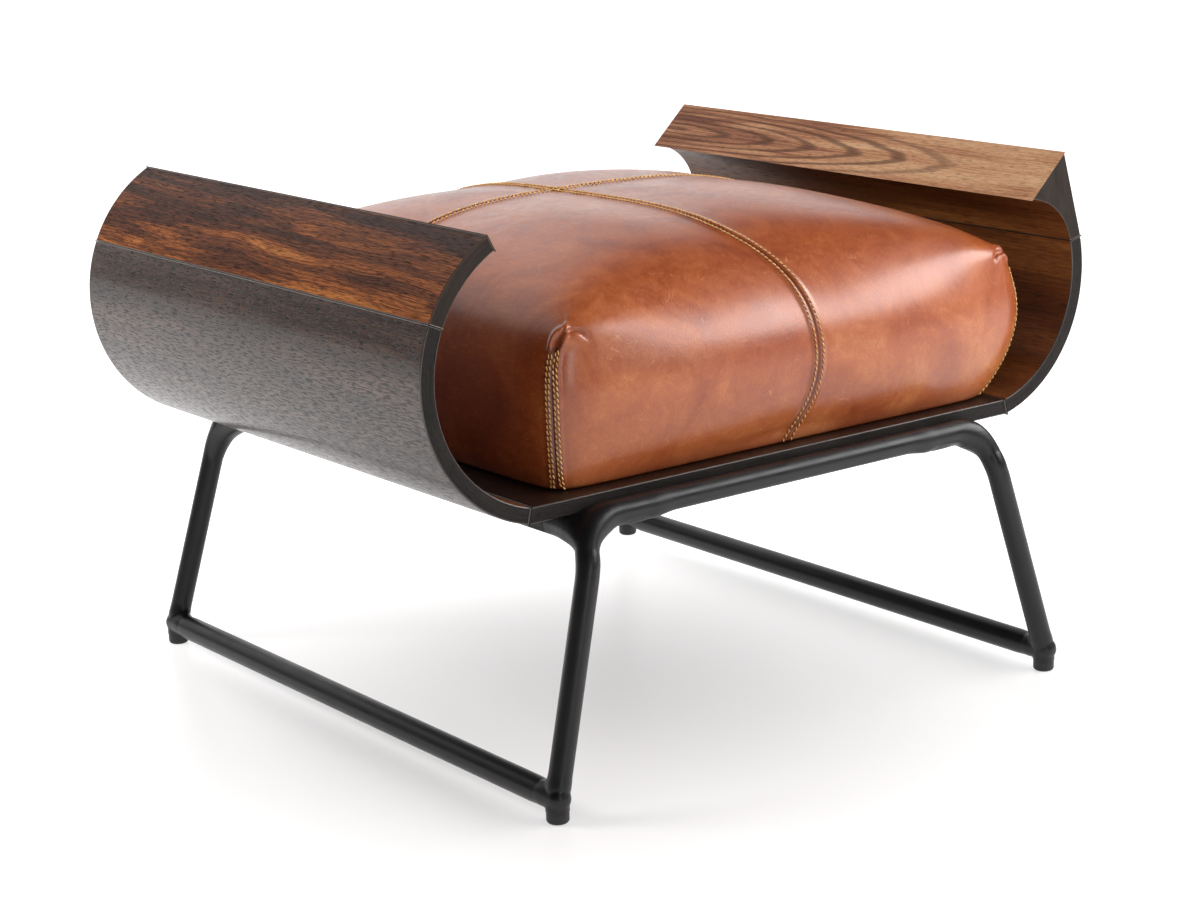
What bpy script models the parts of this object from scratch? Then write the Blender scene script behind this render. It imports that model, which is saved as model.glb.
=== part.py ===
"""Leather ottoman: a board with two bent arms on a tube frame, and a bolted leather cushion.

Metres, +Z up. X is the width and Y the depth, with the front at -Y.
The origin is on the floor, under the middle of the board.
"""

import math

import bmesh
import bpy
from mathutils import Matrix, Vector

# General clearances
GAP = 0.0003
SLIDE = 0.0003

# Board and bent arms
BOARD_DEPTH = 0.520
BOARD_HALF_WIDTH = 0.255
BOARD_TOP = 0.2406
PLY = 0.0133
ARM_INNER_RADIUS = 0.1083
ARM_START = math.radians(13.7)
LEFT_SEAM = math.radians(113.8)
LEFT_TIP = math.radians(152.4)
RIGHT_SEAM = math.radians(103.0)
ARM_STEP = math.radians(4.5)

# Thick right cap: straight outer face, wide top face, hollowed inner face
WEDGE_OUTER_LENGTH = 0.0783
WEDGE_OUTER_LEAN = math.radians(16.2)
WEDGE_TOP_WIDTH = 0.054
WEDGE_TOP_SLOPE = math.radians(43.2)
WEDGE_ARC_STEPS = 12

# Loose tongues that join board, arms and caps
TONGUE_WIDTH = 0.015
TONGUE_THICKNESS = 0.004
TONGUE_END_MARGIN = 0.060

# Tube frame
TUBE_RADIUS = 0.0095
TUBE_WALL = 0.0016
TUBE_SIDES = 20
BEND_RADIUS = 0.050
BEND_STEPS = 7
RAIL_DROP = 0.0148
LEG_INSET = 0.044
LEG_SPLAY_X = 0.0565
LEG_SPLAY_Y = 0.0277
STUB_STEP_IN = 0.0004
STUB_LEAD = 1.9
STUB_BEND_RADIUS = 0.018
STUB_REACH = 0.0163
SPIGOT_LENGTH = 0.016
SPIGOT_ROOT = 0.003

# Stretchers and glides
STRETCHER_RADIUS = 0.01075
STRETCHER_WALL = 0.002
STRETCHER_HEIGHT = 0.0195
STRETCHER_OVERHANG = 0.009
DOME_LENGTH = 0.005
DOME_STEPS = 4
GLIDE_RADIUS = 0.0085
GLIDE_EDGE = 0.002
GLIDE_EDGE_STEPS = 3
STEM_RADIUS = 0.004
STEM_REACH = 0.006
STEM_ROOT = 0.004

# Tabs on top of the side rails, which hold the board
TAB_INSET = 0.140
TAB_LENGTH = 0.040
TAB_WIDTH = 0.032
TAB_THICKNESS = 0.003
TAB_LAP = 0.002
SCREW_HEAD_RADIUS = 0.0045
SCREW_HEAD_HEIGHT = 0.0025
SCREW_RADIUS = 0.0022
SCREW_BITE = 0.0085

# Cushion outside form
CUSHION_SHIFT = 0.024
CUSHION_SIDE_SWELL = 0.006
CUSHION_OVERHANG = 0.010
FRONT_BOW = 0.020
CUSHION_TUCK = 0.030
CUSHION_HEIGHT = 0.187
CUSHION_BELLY = 0.075
CROWN_POWER = 3.3
BOW_POWER = 3.0
SQUARE_POWER = 20.0
ROUND_POWER = 2.5
SQUARE_REACH = 0.955
ROUND_REACH = 0.52
SEAM_DIP = 0.0025
TOP_RINGS = 7
SIDE_RINGS = 3

# Cushion layers and its fixings
COVER_THICKNESS = 0.003
FOAM_EASE = 0.003
BASE_THICKNESS = 0.009
BOLT_INSET = 0.115
BOLT_RADIUS = 0.003
BOLT_HEAD_RADIUS = 0.0065
BOLT_HEAD_HEIGHT = 0.003
INSERT_WALL = 0.0015
INSERT_TOP_MARGIN = 0.0006
ROUND_SIDES = 16

# Sizes worked out from those above
HALF_DEPTH = BOARD_DEPTH / 2
BOARD_UNDER = BOARD_TOP - PLY
ARM_OUTER_RADIUS = ARM_INNER_RADIUS + PLY
ARM_MID_RADIUS = ARM_INNER_RADIUS + PLY / 2
ARM_X = BOARD_HALF_WIDTH - ARM_INNER_RADIUS * math.sin(ARM_START)
ARM_Z = BOARD_TOP + ARM_INNER_RADIUS * math.cos(ARM_START)
TONGUE_LENGTH = BOARD_DEPTH - 2 * TONGUE_END_MARGIN
RAIL_Y = HALF_DEPTH + GAP + TUBE_RADIUS
RAIL_Z = BOARD_TOP - RAIL_DROP
LEG_TOP_X = BOARD_HALF_WIDTH - LEG_INSET
FOOT_X = LEG_TOP_X + LEG_SPLAY_X
FOOT_Y = RAIL_Y + LEG_SPLAY_Y
STUB_END_Y = RAIL_Y - STUB_REACH
TAB_Y = HALF_DEPTH - TAB_INSET
SIDE_RAIL_RADIUS = TUBE_RADIUS - STUB_STEP_IN
TAB_TOP = BOARD_UNDER - GAP
TAB_UNDER = TAB_TOP - TAB_THICKNESS
SIDE_RAIL_Z = TAB_UNDER - GAP - SIDE_RAIL_RADIUS
SIDE_RAIL_X = LEG_TOP_X + (FOOT_X - LEG_TOP_X) * (RAIL_Z - SIDE_RAIL_Z) / (RAIL_Z - STRETCHER_HEIGHT)
NODE_Y = RAIL_Y + (FOOT_Y - RAIL_Y) * (RAIL_Z - SIDE_RAIL_Z) / (RAIL_Z - STRETCHER_HEIGHT)
CUSHION_HALF_WIDTH = BOARD_HALF_WIDTH + CUSHION_SIDE_SWELL
CUSHION_HALF_DEPTH = HALF_DEPTH + CUSHION_OVERHANG
BOLT_X = CUSHION_HALF_WIDTH - BOLT_INSET
BOLT_Y = CUSHION_HALF_DEPTH - BOLT_INSET
CUSHION_BOTTOM = BOARD_TOP + GAP
BASE_TOP = CUSHION_BOTTOM + BASE_THICKNESS
RINGS = TOP_RINGS + SIDE_RINGS
SIDES = {"left": -1, "right": 1}
ENDS = {"front": -1, "back": 1}


def make_material(name, colour, roughness, metallic=0.0):
    """Make a Principled material of one colour.

    Args:
        name: the material's name.
        colour: linear red, green and blue.
        roughness: the surface's roughness.
        metallic: 1 for bare metal, 0 for all else.

    Returns:
        The material.
    """
    material = bpy.data.materials.new(name)
    material.use_nodes = True
    shader = material.node_tree.nodes["Principled BSDF"]
    shader.inputs["Base Color"].default_value = (*colour, 1.0)
    shader.inputs["Roughness"].default_value = roughness
    shader.inputs["Metallic"].default_value = metallic
    material.diffuse_color = (*colour, 1.0)
    return material


def clear_scene():
    """Remove every object from the scene."""
    for item in list(bpy.data.objects):
        bpy.data.objects.remove(item, do_unlink=True)


class Workshop:
    """Holds the parent empty and the materials, and turns meshes into named pieces."""

    def __init__(self):
        """Make the parent empty and the materials."""
        self.parent = bpy.data.objects.new("ottoman", None)
        bpy.context.scene.collection.objects.link(self.parent)
        self.materials = {
            "wenge": make_material("wenge", (0.035, 0.026, 0.021), 0.50),
            "rosewood": make_material("rosewood", (0.150, 0.062, 0.026), 0.42),
            "beech": make_material("beech", (0.450, 0.290, 0.160), 0.60),
            "black_steel": make_material("black_steel", (0.013, 0.013, 0.014), 0.38),
            "zinc_steel": make_material("zinc_steel", (0.480, 0.480, 0.470), 0.40, 1.0),
            "brass": make_material("brass", (0.560, 0.400, 0.160), 0.40, 1.0),
            "nylon": make_material("nylon", (0.015, 0.015, 0.016), 0.55),
            "leather": make_material("leather", (0.290, 0.090, 0.030), 0.36),
            "foam": make_material("foam", (0.720, 0.660, 0.480), 0.95),
        }

    def piece(self, name, shape, material, location=(0.0, 0.0, 0.0)):
        """Make a named piece from a bmesh and free the bmesh.

        Args:
            name: the piece's name.
            shape: the bmesh that holds its form.
            material: the name of its material.
            location: where its origin goes.

        Returns:
            The object.
        """
        bmesh.ops.recalc_face_normals(shape, faces=shape.faces)
        mesh = bpy.data.meshes.new(name)
        shape.to_mesh(mesh)
        shape.free()
        mesh.shade_smooth()
        mesh.set_sharp_from_angle(angle=math.radians(32))
        mesh.materials.append(self.materials[material])
        return self.place(name, mesh, location)

    def place(self, name, mesh, location):
        """Put an object with this mesh in the scene, under the parent empty.

        Args:
            name: the object's name.
            mesh: its mesh, which other objects may share.
            location: where its origin goes.

        Returns:
            The object.
        """
        item = bpy.data.objects.new(name, mesh)
        item.location = location
        item.parent = self.parent
        bpy.context.scene.collection.objects.link(item)
        return item

    def tool(self, name, shape, location=(0.0, 0.0, 0.0)):
        """Make a hidden object that only shapes others.

        Args:
            name: the object's name.
            shape: the bmesh that holds its form.
            location: where its origin goes.

        Returns:
            The object.
        """
        item = self.piece(name, shape, "zinc_steel", location)
        item.hide_render = True
        item.display_type = "WIRE"
        return item


def boolean(target, other, operation):
    """Add a Boolean modifier.

    Args:
        target: the object that changes.
        other: the object that joins it or cuts it.
        operation: UNION or DIFFERENCE.
    """
    modifier = target.modifiers.new(f"{operation.lower()}_{other.name}", "BOOLEAN")
    modifier.operation = operation
    modifier.solver = "EXACT"
    modifier.object = other


def prism(outline, half_depth):
    """Extrude an outline in X and Z along Y.

    Args:
        outline: the outline's (x, z) points in order.
        half_depth: the reach to the front and to the back.

    Returns:
        The bmesh.
    """
    shape = bmesh.new()
    corners = [shape.verts.new((x, -half_depth, z)) for x, z in outline]
    face = shape.faces.new(corners)
    grown = bmesh.ops.extrude_face_region(shape, geom=[face])
    moved = [part for part in grown["geom"] if isinstance(part, bmesh.types.BMVert)]
    bmesh.ops.translate(shape, verts=moved, vec=(0.0, 2 * half_depth, 0.0))
    return shape


def slab(outline, low, high):
    """Extrude an outline in X and Y along Z.

    Args:
        outline: the outline's (x, y) points in order.
        low: the height of the under face.
        high: the height of the top face.

    Returns:
        The bmesh.
    """
    shape = bmesh.new()
    face = shape.faces.new([shape.verts.new((x, y, low)) for x, y in outline])
    grown = bmesh.ops.extrude_face_region(shape, geom=[face])
    moved = [part for part in grown["geom"] if isinstance(part, bmesh.types.BMVert)]
    bmesh.ops.translate(shape, verts=moved, vec=(0.0, 0.0, high - low))
    return shape


def turned(profile, sides):
    """Spin a profile about the Z axis.

    Args:
        profile: (radius, height) points, from the axis and back to it, or a closed ring clear of it.
        sides: the number of steps in a full turn.

    Returns:
        The bmesh.
    """
    shape = bmesh.new()
    verts = [shape.verts.new((radius, 0.0, height)) for radius, height in profile]
    edges = [shape.edges.new(pair) for pair in zip(verts, verts[1:])]
    if min(radius for radius, _ in profile) > 0:
        edges.append(shape.edges.new((verts[-1], verts[0])))
    bmesh.ops.spin(
        shape, geom=verts + edges, axis=(0, 0, 1), cent=(0, 0, 0), dvec=(0, 0, 0),
        angle=2 * math.pi, steps=sides, use_merge=True, use_duplicate=False,
    )
    bmesh.ops.remove_doubles(shape, verts=shape.verts, dist=1e-6)
    return shape


def rod(radius, low, high, sides=ROUND_SIDES):
    """Make an upright rod by spinning its profile.

    Args:
        radius: the rod's radius.
        low: the height of its under end.
        high: the height of its top end.
        sides: the number of sides.

    Returns:
        The bmesh.
    """
    return turned([(0.0, high), (radius, high), (radius, low), (0.0, low)], sides)


def laid_along_y(shape):
    """Turn a bmesh that stands on Z so that it lies along Y.

    Args:
        shape: the bmesh.

    Returns:
        The same bmesh.
    """
    bmesh.ops.rotate(shape, verts=shape.verts, cent=(0, 0, 0), matrix=Matrix.Rotation(-math.pi / 2, 3, "X"))
    return shape


def rounded_path(corners, radius):
    """Run a path through corner points and round each corner with an arc.

    Args:
        corners: the points where straight runs meet, with both ends.
        radius: the arc's radius.

    Returns:
        The path's points.
    """
    points = [Vector(corners[0])]
    for before, here, after in zip(corners, corners[1:], corners[2:]):
        here = Vector(here)
        back = (Vector(before) - here).normalized()
        ahead = (Vector(after) - here).normalized()
        opening = back.angle(ahead)
        turn = math.pi - opening
        middle = here + (back + ahead).normalized() * radius / math.sin(opening / 2)
        spoke = here + back * radius / math.tan(opening / 2) - middle
        axis = ahead.cross(back).normalized()
        for step in range(BEND_STEPS + 1):
            points.append(middle + Matrix.Rotation(turn * step / BEND_STEPS, 3, axis) @ spoke)
    points.append(Vector(corners[-1]))
    return points


def swept(path, radius, sides=TUBE_SIDES):
    """Carry a round section along a path that lies in one plane, and close both ends.

    Args:
        path: the path's points.
        radius: the section's radius.
        sides: the section's number of sides.

    Returns:
        The bmesh.
    """
    shape = bmesh.new()
    directions = [(after - before).normalized() for before, after in zip(path, path[1:])]
    bends = [first.cross(second) for first, second in zip(directions, directions[1:])]
    normal = max(bends, key=lambda bend: bend.length).normalized()
    loops = []
    for index, point in enumerate(path):
        first = directions[max(index - 1, 0)]
        second = directions[min(index, len(directions) - 1)]
        along = (first + second).normalized()
        across = normal.cross(along)
        ring = []
        for step in range(sides):
            angle = 2 * math.pi * (step + 0.5) / sides
            spoke = math.cos(angle) * normal + math.sin(angle) * across
            ring.append(shape.verts.new(point + radius * spoke))
        loops.append(ring)
    for ring, following in zip(loops, loops[1:]):
        for step in range(sides):
            after = (step + 1) % sides
            shape.faces.new((ring[step], ring[after], following[after], following[step]))
    shape.faces.new(loops[0])
    shape.faces.new(loops[-1])
    return shape


def arm_point(side, radius, angle):
    """Give a point of an arm's section.

    Args:
        side: -1 for left, 1 for right.
        radius: the distance from the arm's axis.
        angle: the turn from straight down, outwards and up.

    Returns:
        The point's x and z.
    """
    return side * (ARM_X + radius * math.sin(angle)), ARM_Z - radius * math.cos(angle)


def arm_arc(side, radius, start, end):
    """Give points along an arm's section at one radius.

    Args:
        side: -1 for left, 1 for right.
        radius: the distance from the arm's axis.
        start: the first angle.
        end: the last angle.

    Returns:
        The points' x and z.
    """
    steps = max(2, round(abs(end - start) / ARM_STEP))
    return [arm_point(side, radius, start + (end - start) * step / steps) for step in range(steps + 1)]


def bent_strip(side, start, end):
    """Give the outline of a bent strip of the arm's thickness.

    Args:
        side: -1 for left, 1 for right.
        start: the angle where the strip starts.
        end: the angle where it ends.

    Returns:
        The outline's x and z points.
    """
    return arm_arc(side, ARM_OUTER_RADIUS, start, end) + arm_arc(side, ARM_INNER_RADIUS, end, start)


def wedge_outline(side, start):
    """Give the outline of the thick cap.

    The outer face leans in straight from the seam, the top face slopes down inwards, and the inner
    face is the arc that leaves the arm's inner face in line and ends at the top face's inner edge.

    Args:
        side: -1 for left, 1 for right.
        start: the angle where the cap starts.

    Returns:
        The outline's x and z points.
    """
    outer = Vector(arm_point(side, ARM_OUTER_RADIUS, start))
    inner = Vector(arm_point(side, ARM_INNER_RADIUS, start))
    lean = Vector((-side * math.sin(WEDGE_OUTER_LEAN), math.cos(WEDGE_OUTER_LEAN)))
    slope = Vector((-side * math.cos(WEDGE_TOP_SLOPE), -math.sin(WEDGE_TOP_SLOPE)))
    outer_tip = outer + lean * WEDGE_OUTER_LENGTH
    inner_tip = outer_tip + slope * WEDGE_TOP_WIDTH
    inwards = Vector((-side * math.sin(start), math.cos(start)))
    chord = inner_tip - inner
    radius = chord.length_squared / (2 * chord.dot(inwards))
    middle = inner + inwards * radius
    first = math.atan2(inner.y - middle.y, inner.x - middle.x)
    last = math.atan2(inner_tip.y - middle.y, inner_tip.x - middle.x)
    sweep = (last - first + math.pi) % (2 * math.pi) - math.pi
    arc = []
    for step in range(WEDGE_ARC_STEPS + 1):
        angle = first + sweep * (1 - step / WEDGE_ARC_STEPS)
        arc.append((middle.x + radius * math.cos(angle), middle.y + radius * math.sin(angle)))
    return [tuple(outer), tuple(outer_tip)] + arc


def tongue(side, angle, clearance):
    """Make a flat tongue that lies across a joint of the arm.

    Args:
        side: -1 for left, 1 for right.
        angle: the joint's angle on the arm.
        clearance: what is added all round, for the groove.

    Returns:
        The bmesh.
    """
    along = TONGUE_WIDTH / 2 + clearance
    across = TONGUE_THICKNESS / 2 + clearance
    centre = Vector(arm_point(side, ARM_MID_RADIUS, angle))
    run = Vector((side * math.cos(angle), math.sin(angle))) * along
    rise = Vector((-side * math.sin(angle), math.cos(angle))) * across
    outline = [tuple(centre + run + rise), tuple(centre + run - rise)]
    outline += [tuple(centre - run - rise), tuple(centre - run + rise)]
    return prism(outline, TONGUE_LENGTH / 2 + clearance)


def build_board(shop):
    """Make the board, with ends that meet the arms square to their curve.

    Args:
        shop: the workshop.

    Returns:
        The board.
    """
    joint = ARM_START - GAP / ARM_MID_RADIUS
    outline = []
    for side in SIDES.values():
        ends = [arm_point(side, ARM_INNER_RADIUS, joint)[0], arm_point(side, ARM_OUTER_RADIUS, joint)[0]]
        pair = list(zip(ends, (BOARD_TOP, BOARD_UNDER)))
        outline += pair if side > 0 else pair[::-1]
    return shop.piece("seat_board", prism(outline, HALF_DEPTH), "wenge")


def build_arms(shop, board):
    """Make the bent shells, their caps and the tongues that join them to the board and each other.

    Args:
        shop: the workshop.
        board: the seat board, which the lower tongues cut.
    """
    half_gap = GAP / 2 / ARM_MID_RADIUS
    for name, side in SIDES.items():
        seam = LEFT_SEAM if side < 0 else RIGHT_SEAM
        shell = shop.piece(
            f"side_shell_{name}", prism(bent_strip(side, ARM_START, seam - half_gap), HALF_DEPTH), "wenge"
        )
        start = seam + half_gap
        cap_outline = bent_strip(side, start, LEFT_TIP) if side < 0 else wedge_outline(side, start)
        cap = shop.piece(f"armrest_cap_{name}", prism(cap_outline, HALF_DEPTH), "rosewood")
        joints = {
            "board": (ARM_START - half_gap, (board, shell)),
            "cap": (seam, (shell, cap)),
        }
        for joint, (angle, joined) in joints.items():
            shop.piece(f"{joint}_tongue_{name}", tongue(side, angle, 0.0), "beech")
            groove = shop.tool(f"{joint}_groove_{name}", tongue(side, angle, GAP))
            for piece in joined:
                boolean(piece, groove, "DIFFERENCE")


def frame_corners(end):
    """Give the corner points of a leg frame: foot, top, top and foot.

    Args:
        end: -1 for the front frame, 1 for the back one.

    Returns:
        The four corner points.
    """
    return [
        Vector((-FOOT_X, end * FOOT_Y, STRETCHER_HEIGHT)),
        Vector((-LEG_TOP_X, end * RAIL_Y, RAIL_Z)),
        Vector((LEG_TOP_X, end * RAIL_Y, RAIL_Z)),
        Vector((FOOT_X, end * FOOT_Y, STRETCHER_HEIGHT)),
    ]


def stub_path(side, end):
    """Give the path of the elbow that leaves a leg for the side rail.

    Args:
        side: -1 for left, 1 for right.
        end: -1 for front, 1 for back.

    Returns:
        The path's points.
    """
    node = Vector((side * SIDE_RAIL_X, end * NODE_Y, SIDE_RAIL_Z))
    foot = Vector((side * FOOT_X, end * FOOT_Y, STRETCHER_HEIGHT))
    start = node + (foot - node).normalized() * STUB_BEND_RADIUS * STUB_LEAD
    butt = Vector((side * SIDE_RAIL_X, end * STUB_END_Y, SIDE_RAIL_Z))
    return rounded_path([start, node, butt], STUB_BEND_RADIUS)


def build_frame(shop):
    """Make the two bent leg frames, with an elbow and a spigot at each corner, and the side rails.

    Args:
        shop: the workshop.
    """
    rail_bore = SIDE_RAIL_RADIUS - TUBE_WALL
    cope_reach = FOOT_Y + 2 * TUBE_RADIUS
    for end_name, end in ENDS.items():
        path = rounded_path(frame_corners(end), BEND_RADIUS)
        frame = shop.piece(f"{end_name}_leg_frame", swept(path, TUBE_RADIUS), "black_steel")
        for side_name, side in SIDES.items():
            corner = f"{side_name}_{end_name}"
            stub = swept(stub_path(side, end), SIDE_RAIL_RADIUS)
            boolean(frame, shop.tool(f"stub_{corner}", stub), "UNION")
            inner = -end * SPIGOT_LENGTH
            outer = end * SPIGOT_ROOT
            spigot = laid_along_y(rod(rail_bore - SLIDE, min(inner, outer), max(inner, outer), TUBE_SIDES))
            place = (side * SIDE_RAIL_X, end * STUB_END_Y, SIDE_RAIL_Z)
            boolean(frame, shop.tool(f"spigot_{corner}", spigot, place), "UNION")
        boolean(frame, shop.tool(f"bore_{end_name}", swept(path, TUBE_RADIUS - TUBE_WALL)), "DIFFERENCE")
        for side_name, side in SIDES.items():
            cope = laid_along_y(rod(STRETCHER_RADIUS + GAP, -cope_reach, cope_reach, TUBE_SIDES))
            place = (side * FOOT_X, 0.0, STRETCHER_HEIGHT)
            boolean(frame, shop.tool(f"cope_{side_name}_{end_name}", cope, place), "DIFFERENCE")
    half = STUB_END_Y - GAP
    profile = [
        (SIDE_RAIL_RADIUS, half), (SIDE_RAIL_RADIUS, -half), (rail_bore, -half), (rail_bore, half),
    ]
    for side_name, side in SIDES.items():
        place = (side * SIDE_RAIL_X, 0.0, SIDE_RAIL_Z)
        rail = laid_along_y(turned(profile, TUBE_SIDES))
        shop.piece(f"side_rail_{side_name}", rail, "black_steel", place)


def build_stretchers(shop):
    """Make the hollow floor stretchers with domed ends, and the glides under them.

    Args:
        shop: the workshop.
    """
    reach = FOOT_Y + STRETCHER_OVERHANG
    straight = reach - DOME_LENGTH
    dome = []
    for step in range(DOME_STEPS + 1):
        angle = math.pi / 2 * step / DOME_STEPS
        dome.append((STRETCHER_RADIUS * math.sin(angle), straight + DOME_LENGTH * math.cos(angle)))
    profile = dome + [(radius, -height) for radius, height in reversed(dome)]
    glide_profile = [(0.0, STRETCHER_HEIGHT), (GLIDE_RADIUS, STRETCHER_HEIGHT)]
    for step in range(GLIDE_EDGE_STEPS + 1):
        angle = math.pi / 2 * step / GLIDE_EDGE_STEPS
        run = GLIDE_RADIUS - GLIDE_EDGE + GLIDE_EDGE * math.cos(angle)
        glide_profile.append((run, GLIDE_EDGE - GLIDE_EDGE * math.sin(angle)))
    glide_profile.append((0.0, 0.0))
    bore = STRETCHER_RADIUS - STRETCHER_WALL
    for side_name, side in SIDES.items():
        place = (side * FOOT_X, 0.0, STRETCHER_HEIGHT)
        stretcher = shop.piece(
            f"stretcher_{side_name}", laid_along_y(turned(profile, TUBE_SIDES)), "black_steel", place
        )
        hollow = laid_along_y(rod(bore, -straight, straight, TUBE_SIDES))
        boolean(stretcher, shop.tool(f"stretcher_bore_{side_name}", hollow, place), "DIFFERENCE")
        for end_name, end in ENDS.items():
            foot = (side * FOOT_X, end * FOOT_Y, 0.0)
            hole = rod(STEM_RADIUS + SLIDE, 0.0, STRETCHER_HEIGHT)
            boolean(stretcher, shop.tool(f"stem_hole_{side_name}_{end_name}", hole, foot), "DIFFERENCE")
            shape = turned(glide_profile, ROUND_SIDES)
            glide = shop.piece(f"glide_{side_name}_{end_name}", shape, "nylon", foot)
            saddle = laid_along_y(rod(STRETCHER_RADIUS + GAP, -reach, reach, TUBE_SIDES))
            boolean(glide, shop.tool(f"saddle_{side_name}_{end_name}", saddle, place), "DIFFERENCE")
            stem = rod(STEM_RADIUS, STEM_ROOT, STRETCHER_HEIGHT - STRETCHER_RADIUS + STEM_REACH)
            boolean(glide, shop.tool(f"stem_{side_name}_{end_name}", stem, foot), "UNION")


def build_tabs(shop, board):
    """Make the tabs on the side rails and the screws that go up through them into the board.

    Args:
        shop: the workshop.
        board: the seat board, which gets the pilot holes.
    """
    middle = SIDE_RAIL_X + TAB_LAP - TAB_WIDTH / 2
    across = TAB_WIDTH / 2
    along = TAB_LENGTH / 2
    outline = [(-across, -along), (across, -along), (across, along), (-across, along)]
    head_top = TAB_UNDER - GAP
    head_under = head_top - SCREW_HEAD_HEIGHT
    tip = BOARD_UNDER + SCREW_BITE
    screw_profile = [
        (0.0, tip), (SCREW_RADIUS, tip), (SCREW_RADIUS, head_top),
        (SCREW_HEAD_RADIUS, head_top), (SCREW_HEAD_RADIUS, head_under), (0.0, head_under),
    ]
    for side_name, side in SIDES.items():
        for end_name, end in ENDS.items():
            corner = f"{side_name}_{end_name}"
            place = (side * middle, end * TAB_Y, 0.0)
            plate = slab(outline, TAB_UNDER, TAB_TOP)
            tab = shop.piece(f"rail_tab_{corner}", plate, "black_steel", place)
            bore = rod(SCREW_RADIUS + SLIDE, head_under, tip + SLIDE)
            hole = shop.tool(f"screw_hole_{corner}", bore, place)
            boolean(tab, hole, "DIFFERENCE")
            boolean(board, hole, "DIFFERENCE")
            screw = turned(screw_profile, ROUND_SIDES)
            shop.piece(f"tab_screw_{corner}", screw, "zinc_steel", place)


def ring_form(ring):
    """Give one ring of the cushion's outside form.

    Above the belly the section is a superellipse, so the top is crowned and its shoulder is round.
    Below the belly it draws in along a parabola to the bottom edge.

    Args:
        ring: the ring's number, 0 at the middle of the top, RINGS at the bottom edge and on below it.

    Returns:
        The share of the top rings' reach, what the ring draws in, and its height.
    """
    belly = CUSHION_BOTTOM + CUSHION_BELLY
    if ring <= TOP_RINGS:
        share = math.sin(math.pi / 2 * ring / TOP_RINGS)
        rise = math.sqrt(max(0.0, 1 - share ** CROWN_POWER))
        return share, 0.0, belly + (CUSHION_HEIGHT - CUSHION_BELLY) * rise
    fall = (ring - TOP_RINGS) / SIDE_RINGS
    return 1.0, CUSHION_TUCK * fall ** 2, belly - CUSHION_BELLY * fall


def eased(share):
    """Ease a share from 0 to 1, level at both ends."""
    held = min(max(share, 0.0), 1.0)
    return held * held * (3 - 2 * held)


def cushion_point(column, row):
    """Give a point of the cushion's outside form, on a square grid that is folded down at its rim.

    Each ring is a superellipse, nearly square at the sides and rounder towards the middle of the
    top. The front and the back bow out between their corners.

    Args:
        column: the grid column, from -RINGS at the left to RINGS at the right.
        row: the grid row, from -RINGS at the front to RINGS at the back.

    Returns:
        The point.
    """
    ring = max(abs(column), abs(row))
    share, drawn, height = ring_form(ring)
    if ring == 0:
        return Vector((CUSHION_SHIFT, 0.0, height))
    lift = eased((SQUARE_REACH - share) / (SQUARE_REACH - ROUND_REACH))
    power = 1 / (1 / SQUARE_POWER + lift * (1 / ROUND_POWER - 1 / SQUARE_POWER))
    part = min(abs(column), abs(row)) / ring
    pinch = (1 + part ** power) ** (-1 / power)
    across = column / ring * pinch
    along = row / ring * pinch
    bow = FRONT_BOW * share * abs(across) ** BOW_POWER
    x = across * (CUSHION_HALF_WIDTH * share - drawn)
    y = along * (CUSHION_HALF_DEPTH * share - drawn - bow)
    return Vector((CUSHION_SHIFT + x, y, height))


def cushion_layer(depth, low):
    """Give the grid of the cushion's form, moved in along its normals.

    Args:
        depth: how far the layer lies inside the outside form.
        low: the least height of its points.

    Returns:
        The points by grid column and row.
    """
    points = {}
    for column in range(-RINGS, RINGS + 1):
        for row in range(-RINGS, RINGS + 1):
            here = cushion_point(column, row)
            across = cushion_point(column + 1, row) - cushion_point(column - 1, row)
            along = cushion_point(column, row + 1) - cushion_point(column, row - 1)
            normal = across.cross(along).normalized()
            dip = SEAM_DIP if column == 0 or row == 0 else 0.0
            moved = here - normal * (depth + dip)
            if column == 0:
                moved.x = here.x
            if row == 0:
                moved.y = here.y
            rim = max(abs(column), abs(row)) == RINGS
            moved.z = low if rim else max(moved.z, low)
            points[column, row] = moved
    return points


def grid_faces(shape, verts, columns, rows, flip):
    """Fill a grid of vertices with four-sided faces, split along the corner seams.

    Args:
        shape: the bmesh.
        verts: the vertices by column and row.
        columns: the columns in order.
        rows: the rows in order.
        flip: True to turn the faces round.
    """
    for left, right in zip(columns, columns[1:]):
        for front, back in zip(rows, rows[1:]):
            ring = [verts[left, front], verts[right, front], verts[right, back], verts[left, back]]
            parts = [ring]
            if abs(left) == abs(front) and abs(right) == abs(back):
                parts = [[ring[0], ring[1], ring[2]], [ring[0], ring[2], ring[3]]]
            elif abs(left) == abs(back) and abs(right) == abs(front):
                parts = [[ring[0], ring[1], ring[3]], [ring[1], ring[2], ring[3]]]
            for corners in parts:
                shape.faces.new(corners[::-1] if flip else corners)


def rim_of(columns, rows):
    """List the grid places round the rim of a block of the grid, in order.

    Args:
        columns: the block's columns in order.
        rows: the block's rows in order.

    Returns:
        The (column, row) places.
    """
    front = [(column, rows[0]) for column in columns[:-1]]
    right = [(columns[-1], row) for row in rows[:-1]]
    back = [(column, rows[-1]) for column in reversed(columns[1:])]
    left = [(columns[0], row) for row in reversed(rows[1:])]
    return front + right + back + left


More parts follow.
